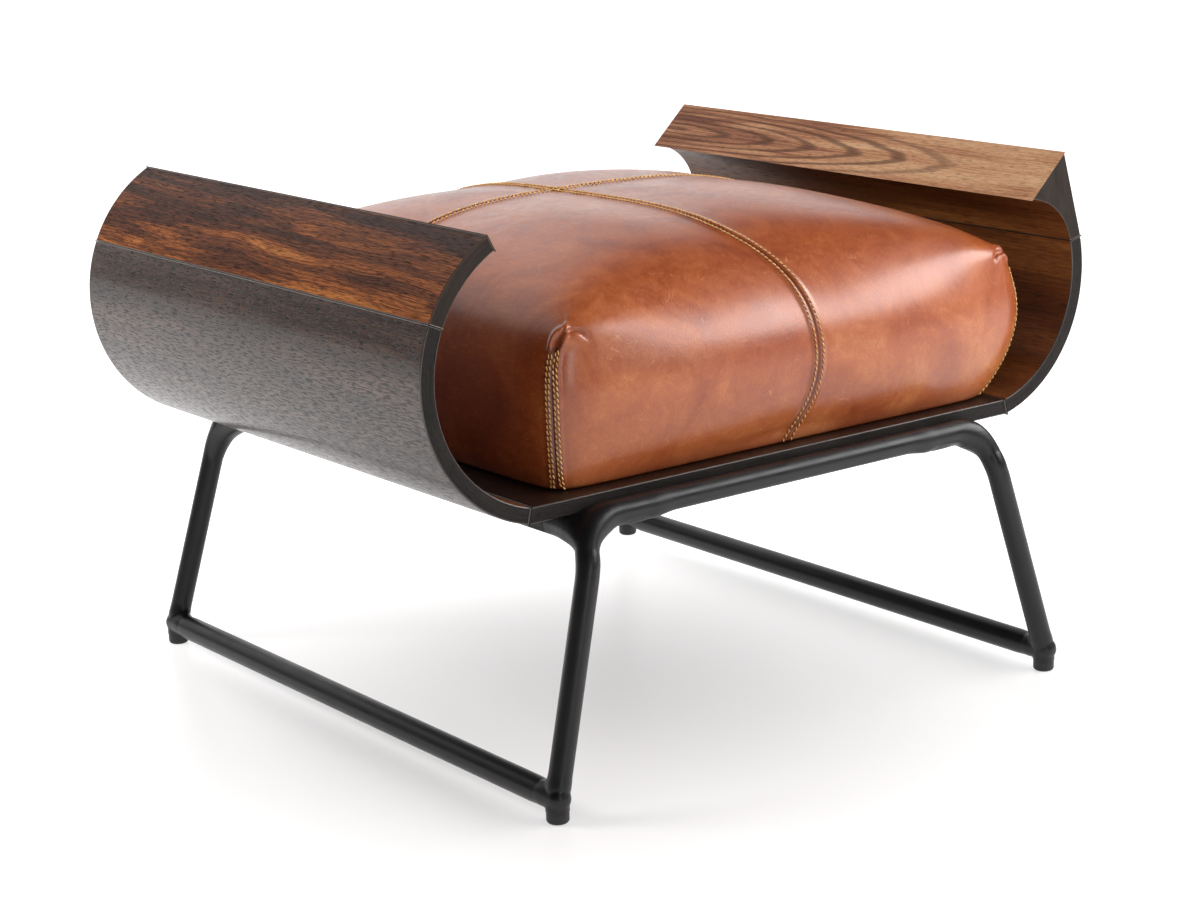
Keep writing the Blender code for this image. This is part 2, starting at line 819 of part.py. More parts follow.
def build_cover(shop):
    """Make the four leather panels, each a quarter of the top with its two half sides.

    Args:
        shop: the workshop.
    """
    outside = cushion_layer(0.0, CUSHION_BOTTOM)
    inside = cushion_layer(COVER_THICKNESS, CUSHION_BOTTOM)
    spans = {-1: list(range(-RINGS, 1)), 1: list(range(0, RINGS + 1))}
    for side_name, side in SIDES.items():
        for end_name, end in ENDS.items():
            columns = spans[side]
            rows = spans[end]
            shape = bmesh.new()
            skins = []
            for layer in (outside, inside):
                verts = {}
                for column in columns:
                    for row in rows:
                        seam = Vector((side * (column == 0), end * (row == 0), 0)) * GAP / 2
                        verts[column, row] = shape.verts.new(layer[column, row] + seam)
                skins.append(verts)
            grid_faces(shape, skins[0], columns, rows, False)
            grid_faces(shape, skins[1], columns, rows, True)
            rim = rim_of(columns, rows)
            for here, after in zip(rim, rim[1:] + rim[:1]):
                shape.faces.new((skins[0][after], skins[0][here], skins[1][here], skins[1][after]))
            shop.piece(f"cover_{side_name}_{end_name}", shape, "leather")


def build_filling(shop):
    """Make the foam core that fills the cover above the base panel.

    Args:
        shop: the workshop.
    """
    layer = cushion_layer(COVER_THICKNESS + FOAM_EASE, BASE_TOP + GAP)
    places = list(range(-RINGS, RINGS + 1, 2))
    shape = bmesh.new()
    verts = {(column, row): shape.verts.new(layer[column, row]) for column in places for row in places}
    grid_faces(shape, verts, places, places, False)
    shape.faces.new([verts[place] for place in reversed(rim_of(places, places))])
    shop.piece("foam_core", shape, "foam")


def build_base(shop, board):
    """Make the cushion's base panel, its inserts and the bolts that come up through the board.

    Args:
        shop: the workshop.
        board: the seat board, which gets the bolt holes.
    """
    layer = cushion_layer(COVER_THICKNESS + GAP, CUSHION_BOTTOM)
    every = list(range(-RINGS, RINGS + 1))
    outline = [tuple(layer[place].xy) for place in rim_of(every, every)]
    base = shop.piece("cushion_base", slab(outline, CUSHION_BOTTOM, BASE_TOP), "beech")
    bore = BOLT_RADIUS + SLIDE
    insert_radius = bore + INSERT_WALL
    insert_top = BASE_TOP - INSERT_TOP_MARGIN
    insert_profile = [
        (insert_radius, insert_top), (insert_radius, CUSHION_BOTTOM),
        (bore, CUSHION_BOTTOM), (bore, insert_top),
    ]
    head_top = BOARD_UNDER - GAP
    head_under = head_top - BOLT_HEAD_HEIGHT
    bolt_profile = [
        (0.0, insert_top), (BOLT_RADIUS, insert_top), (BOLT_RADIUS, head_top),
        (BOLT_HEAD_RADIUS, head_top), (BOLT_HEAD_RADIUS, head_under), (0.0, head_under),
    ]
    for side_name, side in SIDES.items():
        for end_name, end in ENDS.items():
            place = (CUSHION_SHIFT + side * BOLT_X, end * BOLT_Y, 0.0)
            corner = f"{side_name}_{end_name}"
            board_hole = rod(bore, BOARD_UNDER - PLY, BOARD_TOP + PLY)
            boolean(board, shop.tool(f"bolt_hole_{corner}", board_hole, place), "DIFFERENCE")
            base_hole = rod(insert_radius + GAP, CUSHION_BOTTOM - PLY, BASE_TOP + PLY)
            boolean(base, shop.tool(f"insert_hole_{corner}", base_hole, place), "DIFFERENCE")
            shop.piece(f"cushion_insert_{corner}", turned(insert_profile, ROUND_SIDES), "brass", place)
            shop.piece(f"cushion_bolt_{corner}", turned(bolt_profile, ROUND_SIDES), "zinc_steel", place)


def main():
    """Build the ottoman from the floor up."""
    clear_scene()
    shop = Workshop()
    build_stretchers(shop)
    build_frame(shop)
    board = build_board(shop)
    build_arms(shop, board)
    build_tabs(shop, board)
    build_base(shop, board)
    build_filling(shop)
    build_cover(shop)


main()
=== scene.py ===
"""Looks of the leather ottoman: bent wood arms, a black tube frame and a seamed leather cushion.

Metres, +Z up, with the front at -Y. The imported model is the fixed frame. Each class builds and
dresses the pieces of one sub-assembly around it, as surfaces worked out with numpy.
"""

from __future__ import annotations

import logging
import math
from dataclasses import dataclass
from enum import Enum
from functools import partial
from itertools import product
from typing import Any, Sequence

import bpy
import numpy as np
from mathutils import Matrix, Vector

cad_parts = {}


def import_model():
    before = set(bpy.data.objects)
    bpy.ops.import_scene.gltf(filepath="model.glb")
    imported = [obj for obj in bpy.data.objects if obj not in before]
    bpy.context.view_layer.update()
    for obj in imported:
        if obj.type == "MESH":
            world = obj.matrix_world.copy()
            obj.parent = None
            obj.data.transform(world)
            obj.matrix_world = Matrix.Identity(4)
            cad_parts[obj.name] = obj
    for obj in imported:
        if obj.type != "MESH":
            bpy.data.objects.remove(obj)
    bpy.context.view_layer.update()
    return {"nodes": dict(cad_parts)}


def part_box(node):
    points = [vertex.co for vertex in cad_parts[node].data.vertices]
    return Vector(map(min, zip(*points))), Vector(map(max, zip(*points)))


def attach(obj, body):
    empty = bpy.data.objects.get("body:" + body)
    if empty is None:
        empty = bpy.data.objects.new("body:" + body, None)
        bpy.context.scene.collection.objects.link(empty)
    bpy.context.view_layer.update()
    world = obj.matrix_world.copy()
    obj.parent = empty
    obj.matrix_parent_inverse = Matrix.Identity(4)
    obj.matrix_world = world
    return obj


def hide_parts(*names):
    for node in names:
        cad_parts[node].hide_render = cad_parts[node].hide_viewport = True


Array = np.ndarray
Pair = tuple[float, float]
Triple = tuple[float, float, float]
Colour = tuple[float, float, float, float]
Stops = tuple[tuple[float, str], ...]
Tree = bpy.types.NodeTree
Socket = bpy.types.NodeSocket

LOG = logging.getLogger("ottoman")
BODY = "root"
GRAIN_MAP = "grain"
SEAM_FIELD = "seam"
HEM_FIELD = "hem"
SIDES = {"left": -1, "right": 1}
ENDS = {"front": -1, "back": 1}
MM_PER_METRE = 1000.0
# The range that most of a noise falls in
NOISE_LOW, NOISE_HIGH = 0.3, 0.7
MIRROR_RAYS = ("Is Glossy Ray", "Is Transmission Ray")
# The number of rings that the wave node draws while its coordinate grows by one
WAVE_RINGS = 20 / (2 * math.pi)


class Coordinates(Enum):
    """Where a pattern takes its place from."""

    UNROLLED = "the piece's own grain map, unrolled along its bend"
    SOLID = "the object's own coordinates, grain along Y"


class Lit(Enum):
    """Where the light of a lamp shows: on matt surfaces, and in reflections."""

    BOTH = (True, True)
    MATT = (True, False)
    SHINE = (False, True)


class Face(Enum):
    """The faces of a piece of bent wood."""

    OUTER = 0
    INNER = 1
    END = 2
    START = 3
    TIP = 4
    ARRIS = 5


def linear(code: str) -> Colour:
    """Turn an sRGB hex colour into linear light.

    Args:
        code: the colour as #rrggbb.

    Returns:
        Linear red, green and blue, and an alpha of 1.
    """
    parts = [int(code[place:place + 2], 16) / 255 for place in (1, 3, 5)]
    red, green, blue = (v / 12.92 if v <= 0.04045 else ((v + 0.055) / 1.055) ** 2.4 for v in parts)
    return red, green, blue, 1.0


def repeats(size_mm: Sequence[float]) -> tuple[float, ...]:
    """Give a pattern's scale from the real size of its features.

    Args:
        size_mm: the features' size along each axis, in millimetres.

    Returns:
        The number of features in a metre along each axis.
    """
    return tuple(MM_PER_METRE / size for size in size_mm)


def feed(tree: Tree, node: bpy.types.Node, inputs: dict[Any, Any]) -> None:
    """Set a node's inputs to values, or link them from sockets.

    Args:
        tree: the node tree.
        node: the node.
        inputs: a value, or a socket to link from, by input name or number.
    """
    for key, value in inputs.items():
        if isinstance(value, Socket):
            tree.links.new(value, node.inputs[key])
        else:
            node.inputs[key].default_value = value


def add(
    tree: Tree, kind: str, inputs: dict[Any, Any], out: int | str = 0, stops: Stops = (), **settings: Any
) -> Socket:
    """Add a node with its settings, values, links and colour stops.

    Args:
        tree: the node tree.
        kind: the node's type, after the words that all of them start with.
        inputs: a value, or a socket to link from, by input name or number.
        out: the wanted output's name or number.
        stops: a colour ramp's places and hex colours, in order.
        **settings: the node's properties.

    Returns:
        The wanted output.
    """
    node = tree.nodes.new(f"ShaderNode{kind}")
    for key, value in settings.items():
        setattr(node, key, value)
    feed(tree, node, inputs)
    for index, (place, code) in enumerate(stops):
        elements = node.color_ramp.elements
        stop = elements[index] if index < len(elements) else elements.new(place)
        stop.position = place
        stop.color = linear(code)
    return node.outputs[out]


def blank(name: str) -> tuple[bpy.types.Material, Tree, bpy.types.Node]:
    """Make a material with only its shader.

    Args:
        name: the material's name.

    Returns:
        The material, its node tree and its shader node.
    """
    material = bpy.data.materials.new(name)
    material.use_nodes = True
    return material, material.node_tree, material.node_tree.nodes["Principled BSDF"]


@dataclass(frozen=True)
class Wood:
    """Satin lacquered wood with colour bands, growth rings and open pores along its grain.

    To the eye it is long soft bands of colour, crossed by arched ring lines where the board was cut
    flat, with short dark pores that catch no light.
    """

    name: str
    bands: Stops
    pore: str
    band_mm: Pair = (9.0, 160.0)
    cloud_mm: Pair = (45.0, 130.0)
    cloud_share: float = 0.5
    pore_mm: Pair = (0.75, 7.0)
    pore_cut: float = 0.60
    pore_depth: float = 0.85
    pore_edge: float = 0.07
    pore_dulling: float = 0.25
    warp_mm: float = 0.0
    warp_size_mm: Pair = (55.0, 110.0)
    drift: Pair = (0.0, 0.0)
    ring_mm: Pair = (7.0, 60.0)
    ring_centre: Pair = (0.0, 0.0)
    ring_bend: float = 6.0
    ring_depth: float = 0.0
    ring_count: Pair = (4.0, 6.0)
    ring_line: str = "#4a3024"
    roughness: float = 0.42
    specular: float = 0.5
    coat: float = 0.0
    coat_roughness: float = 0.25
    bump_mm: float = 0.25
    bump_strength: float = 0.6
    source: Coordinates = Coordinates.UNROLLED

    def material(self) -> bpy.types.Material:
        """Make the material.

        Returns:
            The material.
        """
        material, tree, shader = blank(self.name)
        if self.source is Coordinates.UNROLLED:
            place = add(tree, "UVMap", {}, uv_map=GRAIN_MAP)
        else:
            place = add(tree, "TexCoord", {}, "Object")
        if self.warp_mm > 0:
            place = self.swirled(tree, place)
        fields = {}
        for key, size, detail, warp in (
            ("band", self.band_mm, 6.0, 0.3),
            ("cloud", self.cloud_mm, 1.2, 0.5),
            ("pore", self.pore_mm, 1.5, 0.3),
        ):
            spread = add(tree, "Mapping", {"Vector": place, "Scale": repeats((*size, size[0]))})
            inputs = {"Vector": spread, "Scale": 1.0, "Detail": detail, "Roughness": 0.6, "Distortion": warp}
            fields[key] = add(tree, "TexNoise", inputs)
        mixed = add(tree, "Mix", {0: self.cloud_share, 2: fields["band"], 3: fields["cloud"]})
        drifted = add(tree, "VectorMath", {0: place, 1: (*self.drift, 0.0)}, "Value", operation="DOT_PRODUCT")
        tone = add(tree, "Math", {0: mixed, 1: drifted}, operation="ADD")
        colour = add(tree, "ValToRGB", {0: tone}, stops=self.bands)
        if self.ring_depth > 0:
            colour = self.ringed(tree, place, fields["cloud"], colour)
        full = self.pore_cut + self.pore_edge
        cut = {0: fields["pore"], 1: self.pore_cut, 2: full, 3: 0.0, 4: self.pore_depth}
        dots = add(tree, "MapRange", cut)
        sunk = add(tree, "Math", {0: 1.0, 1: dots}, operation="SUBTRACT")
        bump = {"Height": sunk, "Strength": self.bump_strength, "Distance": self.bump_mm / MM_PER_METRE}
        dulled = {0: dots, 1: self.pore_dulling, 2: self.roughness}
        feed(tree, shader, {
            "Base Color": add(tree, "Mix", {0: dots, 6: colour, 7: linear(self.pore)}, 2, data_type="RGBA"),
            "Roughness": add(tree, "Math", dulled, operation="MULTIPLY_ADD"),
            "Normal": add(tree, "Bump", bump),
            "Specular IOR Level": self.specular,
            "Coat Weight": self.coat,
            "Coat Roughness": self.coat_roughness,
        })
        return material

    def swirled(self, tree: Tree, place: Socket) -> Socket:
        """Push the pattern's coordinates about by a broad noise, so bands and hair lines swirl together.

        Args:
            tree: the node tree.
            place: the pattern's coordinates.

        Returns:
            The pushed coordinates.
        """
        across, along = self.warp_size_mm
        spread = add(tree, "Mapping", {"Vector": place, "Scale": repeats((across, along, across))})
        noise = add(tree, "TexNoise", {"Vector": spread, "Scale": 1.0, "Detail": 1.5}, "Color")
        push = add(tree, "VectorMath", {0: noise, 1: (0.5, 0.5, 0.5)}, operation="SUBTRACT")
        reach = self.warp_mm / MM_PER_METRE
        return add(tree, "VectorMath", {0: push, 1: (reach, reach, 0.0), 2: place}, operation="MULTIPLY_ADD")

    def ringed(self, tree: Tree, place: Socket, cloud: Socket, colour: Socket) -> Socket:
        """Draw growth rings over the colour: long ellipses, pushed about by the cloud field.

        Args:
            tree: the node tree.
            place: the pattern's coordinates.
            cloud: the broad noise that bends the rings.
            colour: the colour under the rings.

        Returns:
            The colour with rings.
        """
        moved = add(tree, "VectorMath", {0: place, 1: (*self.ring_centre, 0.0)}, operation="SUBTRACT")
        across, along = (size * WAVE_RINGS for size in self.ring_mm)
        spread = add(tree, "Mapping", {"Vector": moved, "Scale": repeats((across, along, MM_PER_METRE))})
        bend = add(tree, "Math", {0: cloud, 1: self.ring_bend * 2 * math.pi}, operation="MULTIPLY")
        inputs = {"Vector": spread, "Scale": 1.0, "Distortion": 0.7, "Detail": 2.0, "Detail Scale": 2.0}
        inputs["Phase Offset"] = bend
        wave = add(tree, "TexWave", inputs, 1, wave_type="RINGS", rings_direction="Z", wave_profile="SIN")
        counted = add(tree, "VectorMath", {0: spread}, "Value", operation="LENGTH")
        full, none = (count / WAVE_RINGS for count in self.ring_count)
        depth = add(tree, "MapRange", {0: counted, 1: full, 2: none, 3: self.ring_depth, 4: 0.0})
        ramp = {0: wave, 1: 0.5, 2: 1.0, 3: 0.0, 4: depth}
        lines = add(tree, "MapRange", ramp, interpolation_type="SMOOTHSTEP")
        return add(tree, "Mix", {0: lines, 6: colour, 7: linear(self.ring_line)}, 2, data_type="RGBA")


@dataclass(frozen=True)
class Leather:
    """Polished pull-up cowhide, coloured through in a drum and waxed.

    To the eye it is a clouded red-brown with painted shade that darkens it towards the top and a little to
    the left, fine pale brush streaks, thin pale scratches, a dark burnished band beside the seams with
    painted shade in their grooves, along the stitch rows and along the bottom edge, and a broad waxy shine.
    """

    name: str = "polished_cowhide"
    colours: Stops = ((0.26, "#7a3013"), (0.45, "#9c4a20"), (0.60, "#b05e2f"), (0.80, "#ca824b"))
    scratch: str = "#cf8a58"
    # Dark brown for burnished darkening beside the seams, and painted shade in their grooves, along the
    # stitch rows and along the bottom edge
    burnish_and_painted_shade: str = "#421607"
    cloud_mm: float = 70.0
    mottle_mm: float = 9.0
    streak_mm: Triple = (1.1, 16.0, 1.6)
    streak_turn: Triple = (0.5, 0.35, 0.7)
    # Painted shade: the colour darkens along this slope, towards the top and a little to the left
    drift: Triple = (0.04, 0.0, -0.6)
    painted_shade_start: float = 0.21
    scratch_mm: float = 34.0
    grain_mm: float = 1.3
    grain_depth_mm: float = 0.20
    roughness: float = 0.38
    specular: float = 0.5
    coat: float = 0.5
    coat_roughness: float = 0.24
    mottle_share: float = 0.26
    rubbed: Pair = (0.46, 0.80)
    rubbed_low: float = 0.025
    rubbed_gain: float = 0.13
    scratch_width: float = 0.0045
    scuffed: Pair = (0.44, 0.60)
    scuffed_share: float = 0.6
    scuffed_crowding: float = 1.7
    bump_strength: float = 0.35
    rough_spread: float = 0.08

    def material(self) -> bpy.types.Material:
        """Make the material.

        Returns:
            The material.
        """
        material, tree, shader = blank(self.name)
        place = add(tree, "TexCoord", {}, "Object")
        slant = {"Vector": place, "Rotation": self.streak_turn, "Scale": repeats(self.streak_mm)}
        slanted = add(tree, "Mapping", slant)
        cloud, mottle, scratch = repeats((self.cloud_mm, self.mottle_mm, self.scratch_mm))
        noises = {}
        for key, vector, scale, detail, warp in (
            ("cloud", place, cloud, 5.0, 0.8), ("mottle", place, mottle, 4.0, 1.2),
            ("streak", slanted, 1.0, 3.0, 0.5), ("scratch", place, scratch, 1.0, 1.6),
            ("scuffed", place, cloud * self.scuffed_crowding, 2.0, 0.0),
        ):
            inputs = {"Vector": vector, "Scale": scale, "Detail": detail}
            noises[key] = add(tree, "TexNoise", {**inputs, "Roughness": 0.6, "Distortion": warp})
        tone = add(tree, "Mix", {0: self.mottle_share, 2: noises["cloud"], 3: noises["mottle"]})
        low = self.painted_shade_start - self.rubbed_low
        start, full = self.rubbed
        rubbed = {0: noises["streak"], 1: start, 2: full, 3: low, 4: low + self.rubbed_gain}
        # Painted shade along the slope, added to the rubbed streaks
        drifted = add(tree, "VectorMath", {0: place, 1: self.drift}, "Value", operation="DOT_PRODUCT")
        rubbed_and_painted_shade = add(tree, "Math", {0: drifted, 1: add(tree, "MapRange", rubbed)}, operation="ADD")
        tone_and_painted_shade = add(tree, "Math", {0: tone, 1: rubbed_and_painted_shade}, operation="ADD")
        colour = add(tree, "ValToRGB", {0: tone_and_painted_shade}, stops=self.colours)
        centred = add(tree, "Math", {0: noises["scratch"], 1: 0.5}, operation="SUBTRACT")
        distance = add(tree, "Math", {0: centred}, operation="ABSOLUTE")
        line = add(tree, "MapRange", {0: distance, 1: 0.0, 2: self.scratch_width, 3: 1.0, 4: 0.0})
        start, full = self.scuffed
        scuffs = {0: noises["scuffed"], 1: start, 2: full, 3: 0.0, 4: self.scuffed_share}
        patch = add(tree, "MapRange", scuffs)
        shown = add(tree, "Math", {0: line, 1: patch}, operation="MULTIPLY")
        colour = add(tree, "Mix", {0: shown, 6: colour, 7: linear(self.scratch)}, 2, data_type="RGBA")
        # Burnished darkening beside the seams, and painted shade in their grooves, along the stitch rows and
        # along the bottom edge
        seam, hem = (
            add(tree, "Attribute", {}, "Fac", attribute_name=field) for field in (SEAM_FIELD, HEM_FIELD)
        )
        dark = add(tree, "Math", {0: seam, 1: hem}, operation="MAXIMUM")
        burnish_and_shade_mix = {0: dark, 6: colour, 7: linear(self.burnish_and_painted_shade)}
        least, most = self.roughness - self.rough_spread, self.roughness + self.rough_spread
        rough = {0: noises["mottle"], 1: NOISE_LOW, 2: NOISE_HIGH, 3: least, 4: most}
        pebble_size = {"Vector": place, "Scale": MM_PER_METRE / self.grain_mm}
        pebble = add(tree, "TexVoronoi", pebble_size, feature="SMOOTH_F1")
        depth = self.grain_depth_mm / MM_PER_METRE
        bump = add(tree, "Bump", {"Height": pebble, "Strength": self.bump_strength, "Distance": depth})
        feed(tree, shader, {
            "Base Color": add(tree, "Mix", burnish_and_shade_mix, 2, data_type="RGBA"),
            "Roughness": add(tree, "MapRange", rough),
            "Normal": bump,
            "Coat Normal": bump,
            "Specular IOR Level": self.specular,
            "Coat Weight": self.coat,
            "Coat Roughness": self.coat_roughness,
        })
        return material


@dataclass(frozen=True)
class Coated:
    """A surface of one even colour with fine speckle: powder coat, moulded nylon, plated metal or thread.

    To the eye it is plain, with a soft highlight that the fine relief breaks up.
    """

    name: str
    low: str
    high: str
    roughness: float
    metallic: float = 0.0
    speckle_mm: float = 0.9
    cloud_mm: float = 25.0
    relief_mm: float = 0.03
    rough_spread: float = 0.08
    specular: float = 0.5
    speckle_share: float = 0.4
    tones: Pair = (0.32, 0.68)
    bump_strength: float = 0.3

    def material(self) -> bpy.types.Material:
        """Make the material.

        Returns:
            The material.
        """
        material, tree, shader = blank(self.name)
        place = add(tree, "TexCoord", {}, "Object")
        cloud, speckle = (
            add(tree, "TexNoise", {"Vector": place, "Scale": MM_PER_METRE / size, "Detail": detail})
            for size, detail in ((self.cloud_mm, 4.0), (self.speckle_mm, 2.0))
        )
        tone = add(tree, "Mix", {0: self.speckle_share, 2: cloud, 3: speckle})
        stops = tuple(zip(self.tones, (self.low, self.high)))
        least, most = self.roughness - self.rough_spread, self.roughness + self.rough_spread
        bump = {"Height": speckle, "Strength": self.bump_strength, "Distance": self.relief_mm / MM_PER_METRE}
        feed(tree, shader, {
            "Base Color": add(tree, "ValToRGB", {0: tone}, stops=stops),
            "Roughness": add(tree, "MapRange", {0: tone, 1: NOISE_LOW, 2: NOISE_HIGH, 3: least, 4: most}),
            "Normal": add(tree, "Bump", bump),
            "Metallic": self.metallic,
            "Specular IOR Level": self.specular,
        })
        return material


# Wenge veneer: charcoal brown, with a dense run of short dark pores along the length. Real pores are
# 0.2 mm wide, too fine to show, so they are drawn coarser.
WENGE = Wood(
    name="wenge_veneer", pore="#060504",
    bands=((0.34, "#281c17"), (0.50, "#433028"), (0.66, "#644c40")),
    band_mm=(1.6, 60.0), cloud_mm=(16.0, 200.0), pore_mm=(1.0, 11.0), pore_cut=0.52, pore_depth=0.95,
    pore_edge=0.06, warp_mm=14.0, warp_size_mm=(70.0, 170.0), roughness=0.30, specular=0.5, coat=0.28,
    coat_roughness=0.14, bump_mm=0.6,
)
# Walnut lining: warm mid brown with fine dark lines along the length
WALNUT = Wood(
    name="walnut_lining", pore="#2a150b",
    bands=((0.30, "#43230f"), (0.48, "#6f3f1e"), (0.70, "#9a6232")),
    band_mm=(2.6, 170.0), cloud_mm=(24.0, 220.0), pore_mm=(0.6, 16.0), pore_cut=0.53, pore_depth=0.6,
    roughness=0.40,
)
# Walnut under a clear gloss that mirrors the seams above it, painted near black brown for the shade that the
# cushion casts on the board's top
WALNUT_WITH_PAINTED_SHADE = Wood(
    name="walnut_with_painted_shade", pore="#0c0604",
    bands=((0.30, "#140a06"), (0.50, "#20110a"), (0.72, "#301b10")),
    band_mm=(2.6, 170.0), cloud_mm=(24.0, 220.0), pore_mm=(0.6, 16.0), pore_cut=0.55, pore_depth=0.6,
    roughness=0.42, specular=0.35, coat=0.25, coat_roughness=0.10,
)
# Rosewood: orange brown with near-black streaks that follow its clouds, and fine dark hair lines
ROSEWOOD = Wood(
    name="rosewood_cap", pore="#1c0d07",
    bands=((0.34, "#381a0e"), (0.43, "#64341a"), (0.52, "#9a5628"), (0.64, "#c67d40")),
    band_mm=(1.3, 80.0), cloud_mm=(19.0, 210.0), cloud_share=0.5, pore_mm=(0.6, 13.0), pore_cut=0.51,
    pore_depth=0.68, pore_edge=0.06, warp_mm=9.0, warp_size_mm=(34.0, 120.0), drift=(-2.0, 0.0),
    ring_mm=(60.0, 600.0), ring_centre=(0.1, 0.3), ring_bend=8.0, ring_depth=0.34, ring_count=(90.0, 100.0),
    ring_line="#1e0f08", roughness=0.45, specular=0.2, bump_mm=0.08,
)
# Paler rosewood, cut flat, so that its rings make long arches
ROSEWOOD_FLAT = Wood(
    name="rosewood_flat_cut", pore="#3a1d10",
    bands=((0.34, "#7a4830"), (0.43, "#a46b4a"), (0.52, "#c8926a"), (0.66, "#deb086")),
    band_mm=(1.5, 90.0), cloud_mm=(14.0, 190.0), pore_mm=(0.6, 11.0), pore_cut=0.54, pore_depth=0.42,
    pore_edge=0.06, warp_mm=5.0, warp_size_mm=(30.0, 110.0), drift=(0.0, -0.30),
    ring_mm=(5.2, 62.0), ring_centre=(0.030, 0.25), ring_bend=0.5, ring_depth=0.68, ring_count=(5.9, 6.8),
    ring_line="#4e2815", roughness=0.42, specular=0.25, bump_mm=0.08,
)
# Cut edges of the bent ply: thin dark layers that follow the bend
PLY_EDGE = Wood(
    name="dark_ply_edge", pore="#0a0808",
    bands=((0.30, "#13100f"), (0.50, "#1e1a18"), (0.72, "#2c2624")),
    band_mm=(1.6, 60.0), cloud_mm=(8.0, 90.0), pore_mm=(0.6, 5.0), pore_cut=0.58, roughness=0.52,
    specular=0.18,
)
# Rounded arrises of the bent ply: painted paler as a thin highlight line, under a coat that catches the light
PLY_ARRIS_PAINTED_HIGHLIGHT = Wood(
    name="ply_arris_painted_highlight", pore="#1a1512",
    bands=((0.30, "#2c2522"), (0.50, "#3f3631"), (0.72, "#574b44")),
    band_mm=(1.6, 60.0), pore_mm=(0.6, 5.0), pore_cut=0.60, roughness=0.30, coat=0.5,
)
# Cut ends of the caps: warmer and plainer than the ply
CAP_END = Wood(
    name="cap_end_wood", pore="#0e0a08",
    bands=((0.30, "#1c1512"), (0.50, "#2a211c"), (0.72, "#3a2e28")),
    band_mm=(2.4, 40.0), cloud_mm=(14.0, 50.0), pore_mm=(0.6, 1.6), pore_cut=0.60, roughness=0.55,
    specular=0.2,
)
# Arrises of the caps, worn through to the paler wood
CAP_ARRIS = Wood(
    name="worn_cap_arris", pore="#2a170d",
    bands=((0.30, "#2c1b12"), (0.50, "#46301f"), (0.72, "#644731")),
    band_mm=(2.4, 60.0), pore_mm=(0.6, 6.0), pore_cut=0.58, roughness=0.34, coat=0.3,
)
# Unfinished beech: pale, fine and even
BEECH = Wood(
    name="plain_beech", pore="#8a6240",
    bands=((0.30, "#b48a62"), (0.50, "#c79f76"), (0.72, "#d6b48c")),
    band_mm=(4.0, 90.0), pore_mm=(0.6, 4.0), pore_cut=0.60, pore_depth=0.5, roughness=0.60,
    source=Coordinates.SOLID,
)
# Polished cowhide: clouded red-brown with a broad waxy shine
HIDE = Leather()
# Bonded polyester thread, waxed: golden ochre
THREAD = Coated(
    "waxed_thread", "#cc8840", "#fbd08c", 0.50, speckle_mm=0.9, cloud_mm=5.0, relief_mm=0.06, specular=0.3
)
# Powder coat on steel tube: satin black with a soft highlight
BLACK_STEEL = Coated(
    "black_powder_coat", "#08080a", "#0f0f11", 0.38, speckle_mm=0.8, relief_mm=0.02, specular=0.45
)
# Moulded nylon: near black and dull
NYLON = Coated("moulded_nylon", "#141415", "#202021", 0.52, speckle_mm=0.6, relief_mm=0.03)
# Zinc plate on steel: pale grey with a soft metal shine
ZINC = Coated("zinc_plated_steel", "#a9a9a6", "#c4c4c0", 0.34, metallic=1.0, cloud_mm=4.0)
# Turned brass: dull yellow with a soft metal shine
BRASS = Coated("turned_brass", "#a88a4c", "#c7a964", 0.32, metallic=1.0, cloud_mm=3.0)


def eased(share: Array) -> Array:
    """Ease a share from 0 to 1, level at both ends."""
    held = np.clip(share, 0.0, 1.0)
    return held * held * (3 - 2 * held)


def bell(*offsets: Array) -> Array:
    """Give a bell of height 1: exp(-s), s being the sum of the offsets' squares."""
    return np.exp(-sum(offset ** 2 for offset in offsets))


def unit(vectors: Array) -> Array:
    """Give the unit vectors along some vectors."""
    return vectors / np.maximum(np.linalg.norm(vectors, axis=-1, keepdims=True), 1e-12)


def lengths(points: Array, axis: int = 0) -> Array:
    """Measure how far each point of some lines lies along its line.

    Args:
        points: the lines' points, with their coordinates last.
        axis: the axis that runs along the lines.

    Returns:
        The length from the line's start to each point.
    """
    steps = np.linalg.norm(np.diff(points, axis=axis), axis=-1)
    return np.cumsum(np.pad(steps, [(int(place == axis), 0) for place in range(steps.ndim)]), axis=axis)


def quads(ids: Array) -> Array:
    """Join neighbours of a grid of vertex numbers into four-sided faces.

    Args:
        ids: the vertex numbers by row and column.

    Returns:
        The faces, four numbers each.
    """
    return np.stack([ids[:-1, :-1], ids[1:, :-1], ids[1:, 1:], ids[:-1, 1:]], axis=-1).reshape(-1, 4)


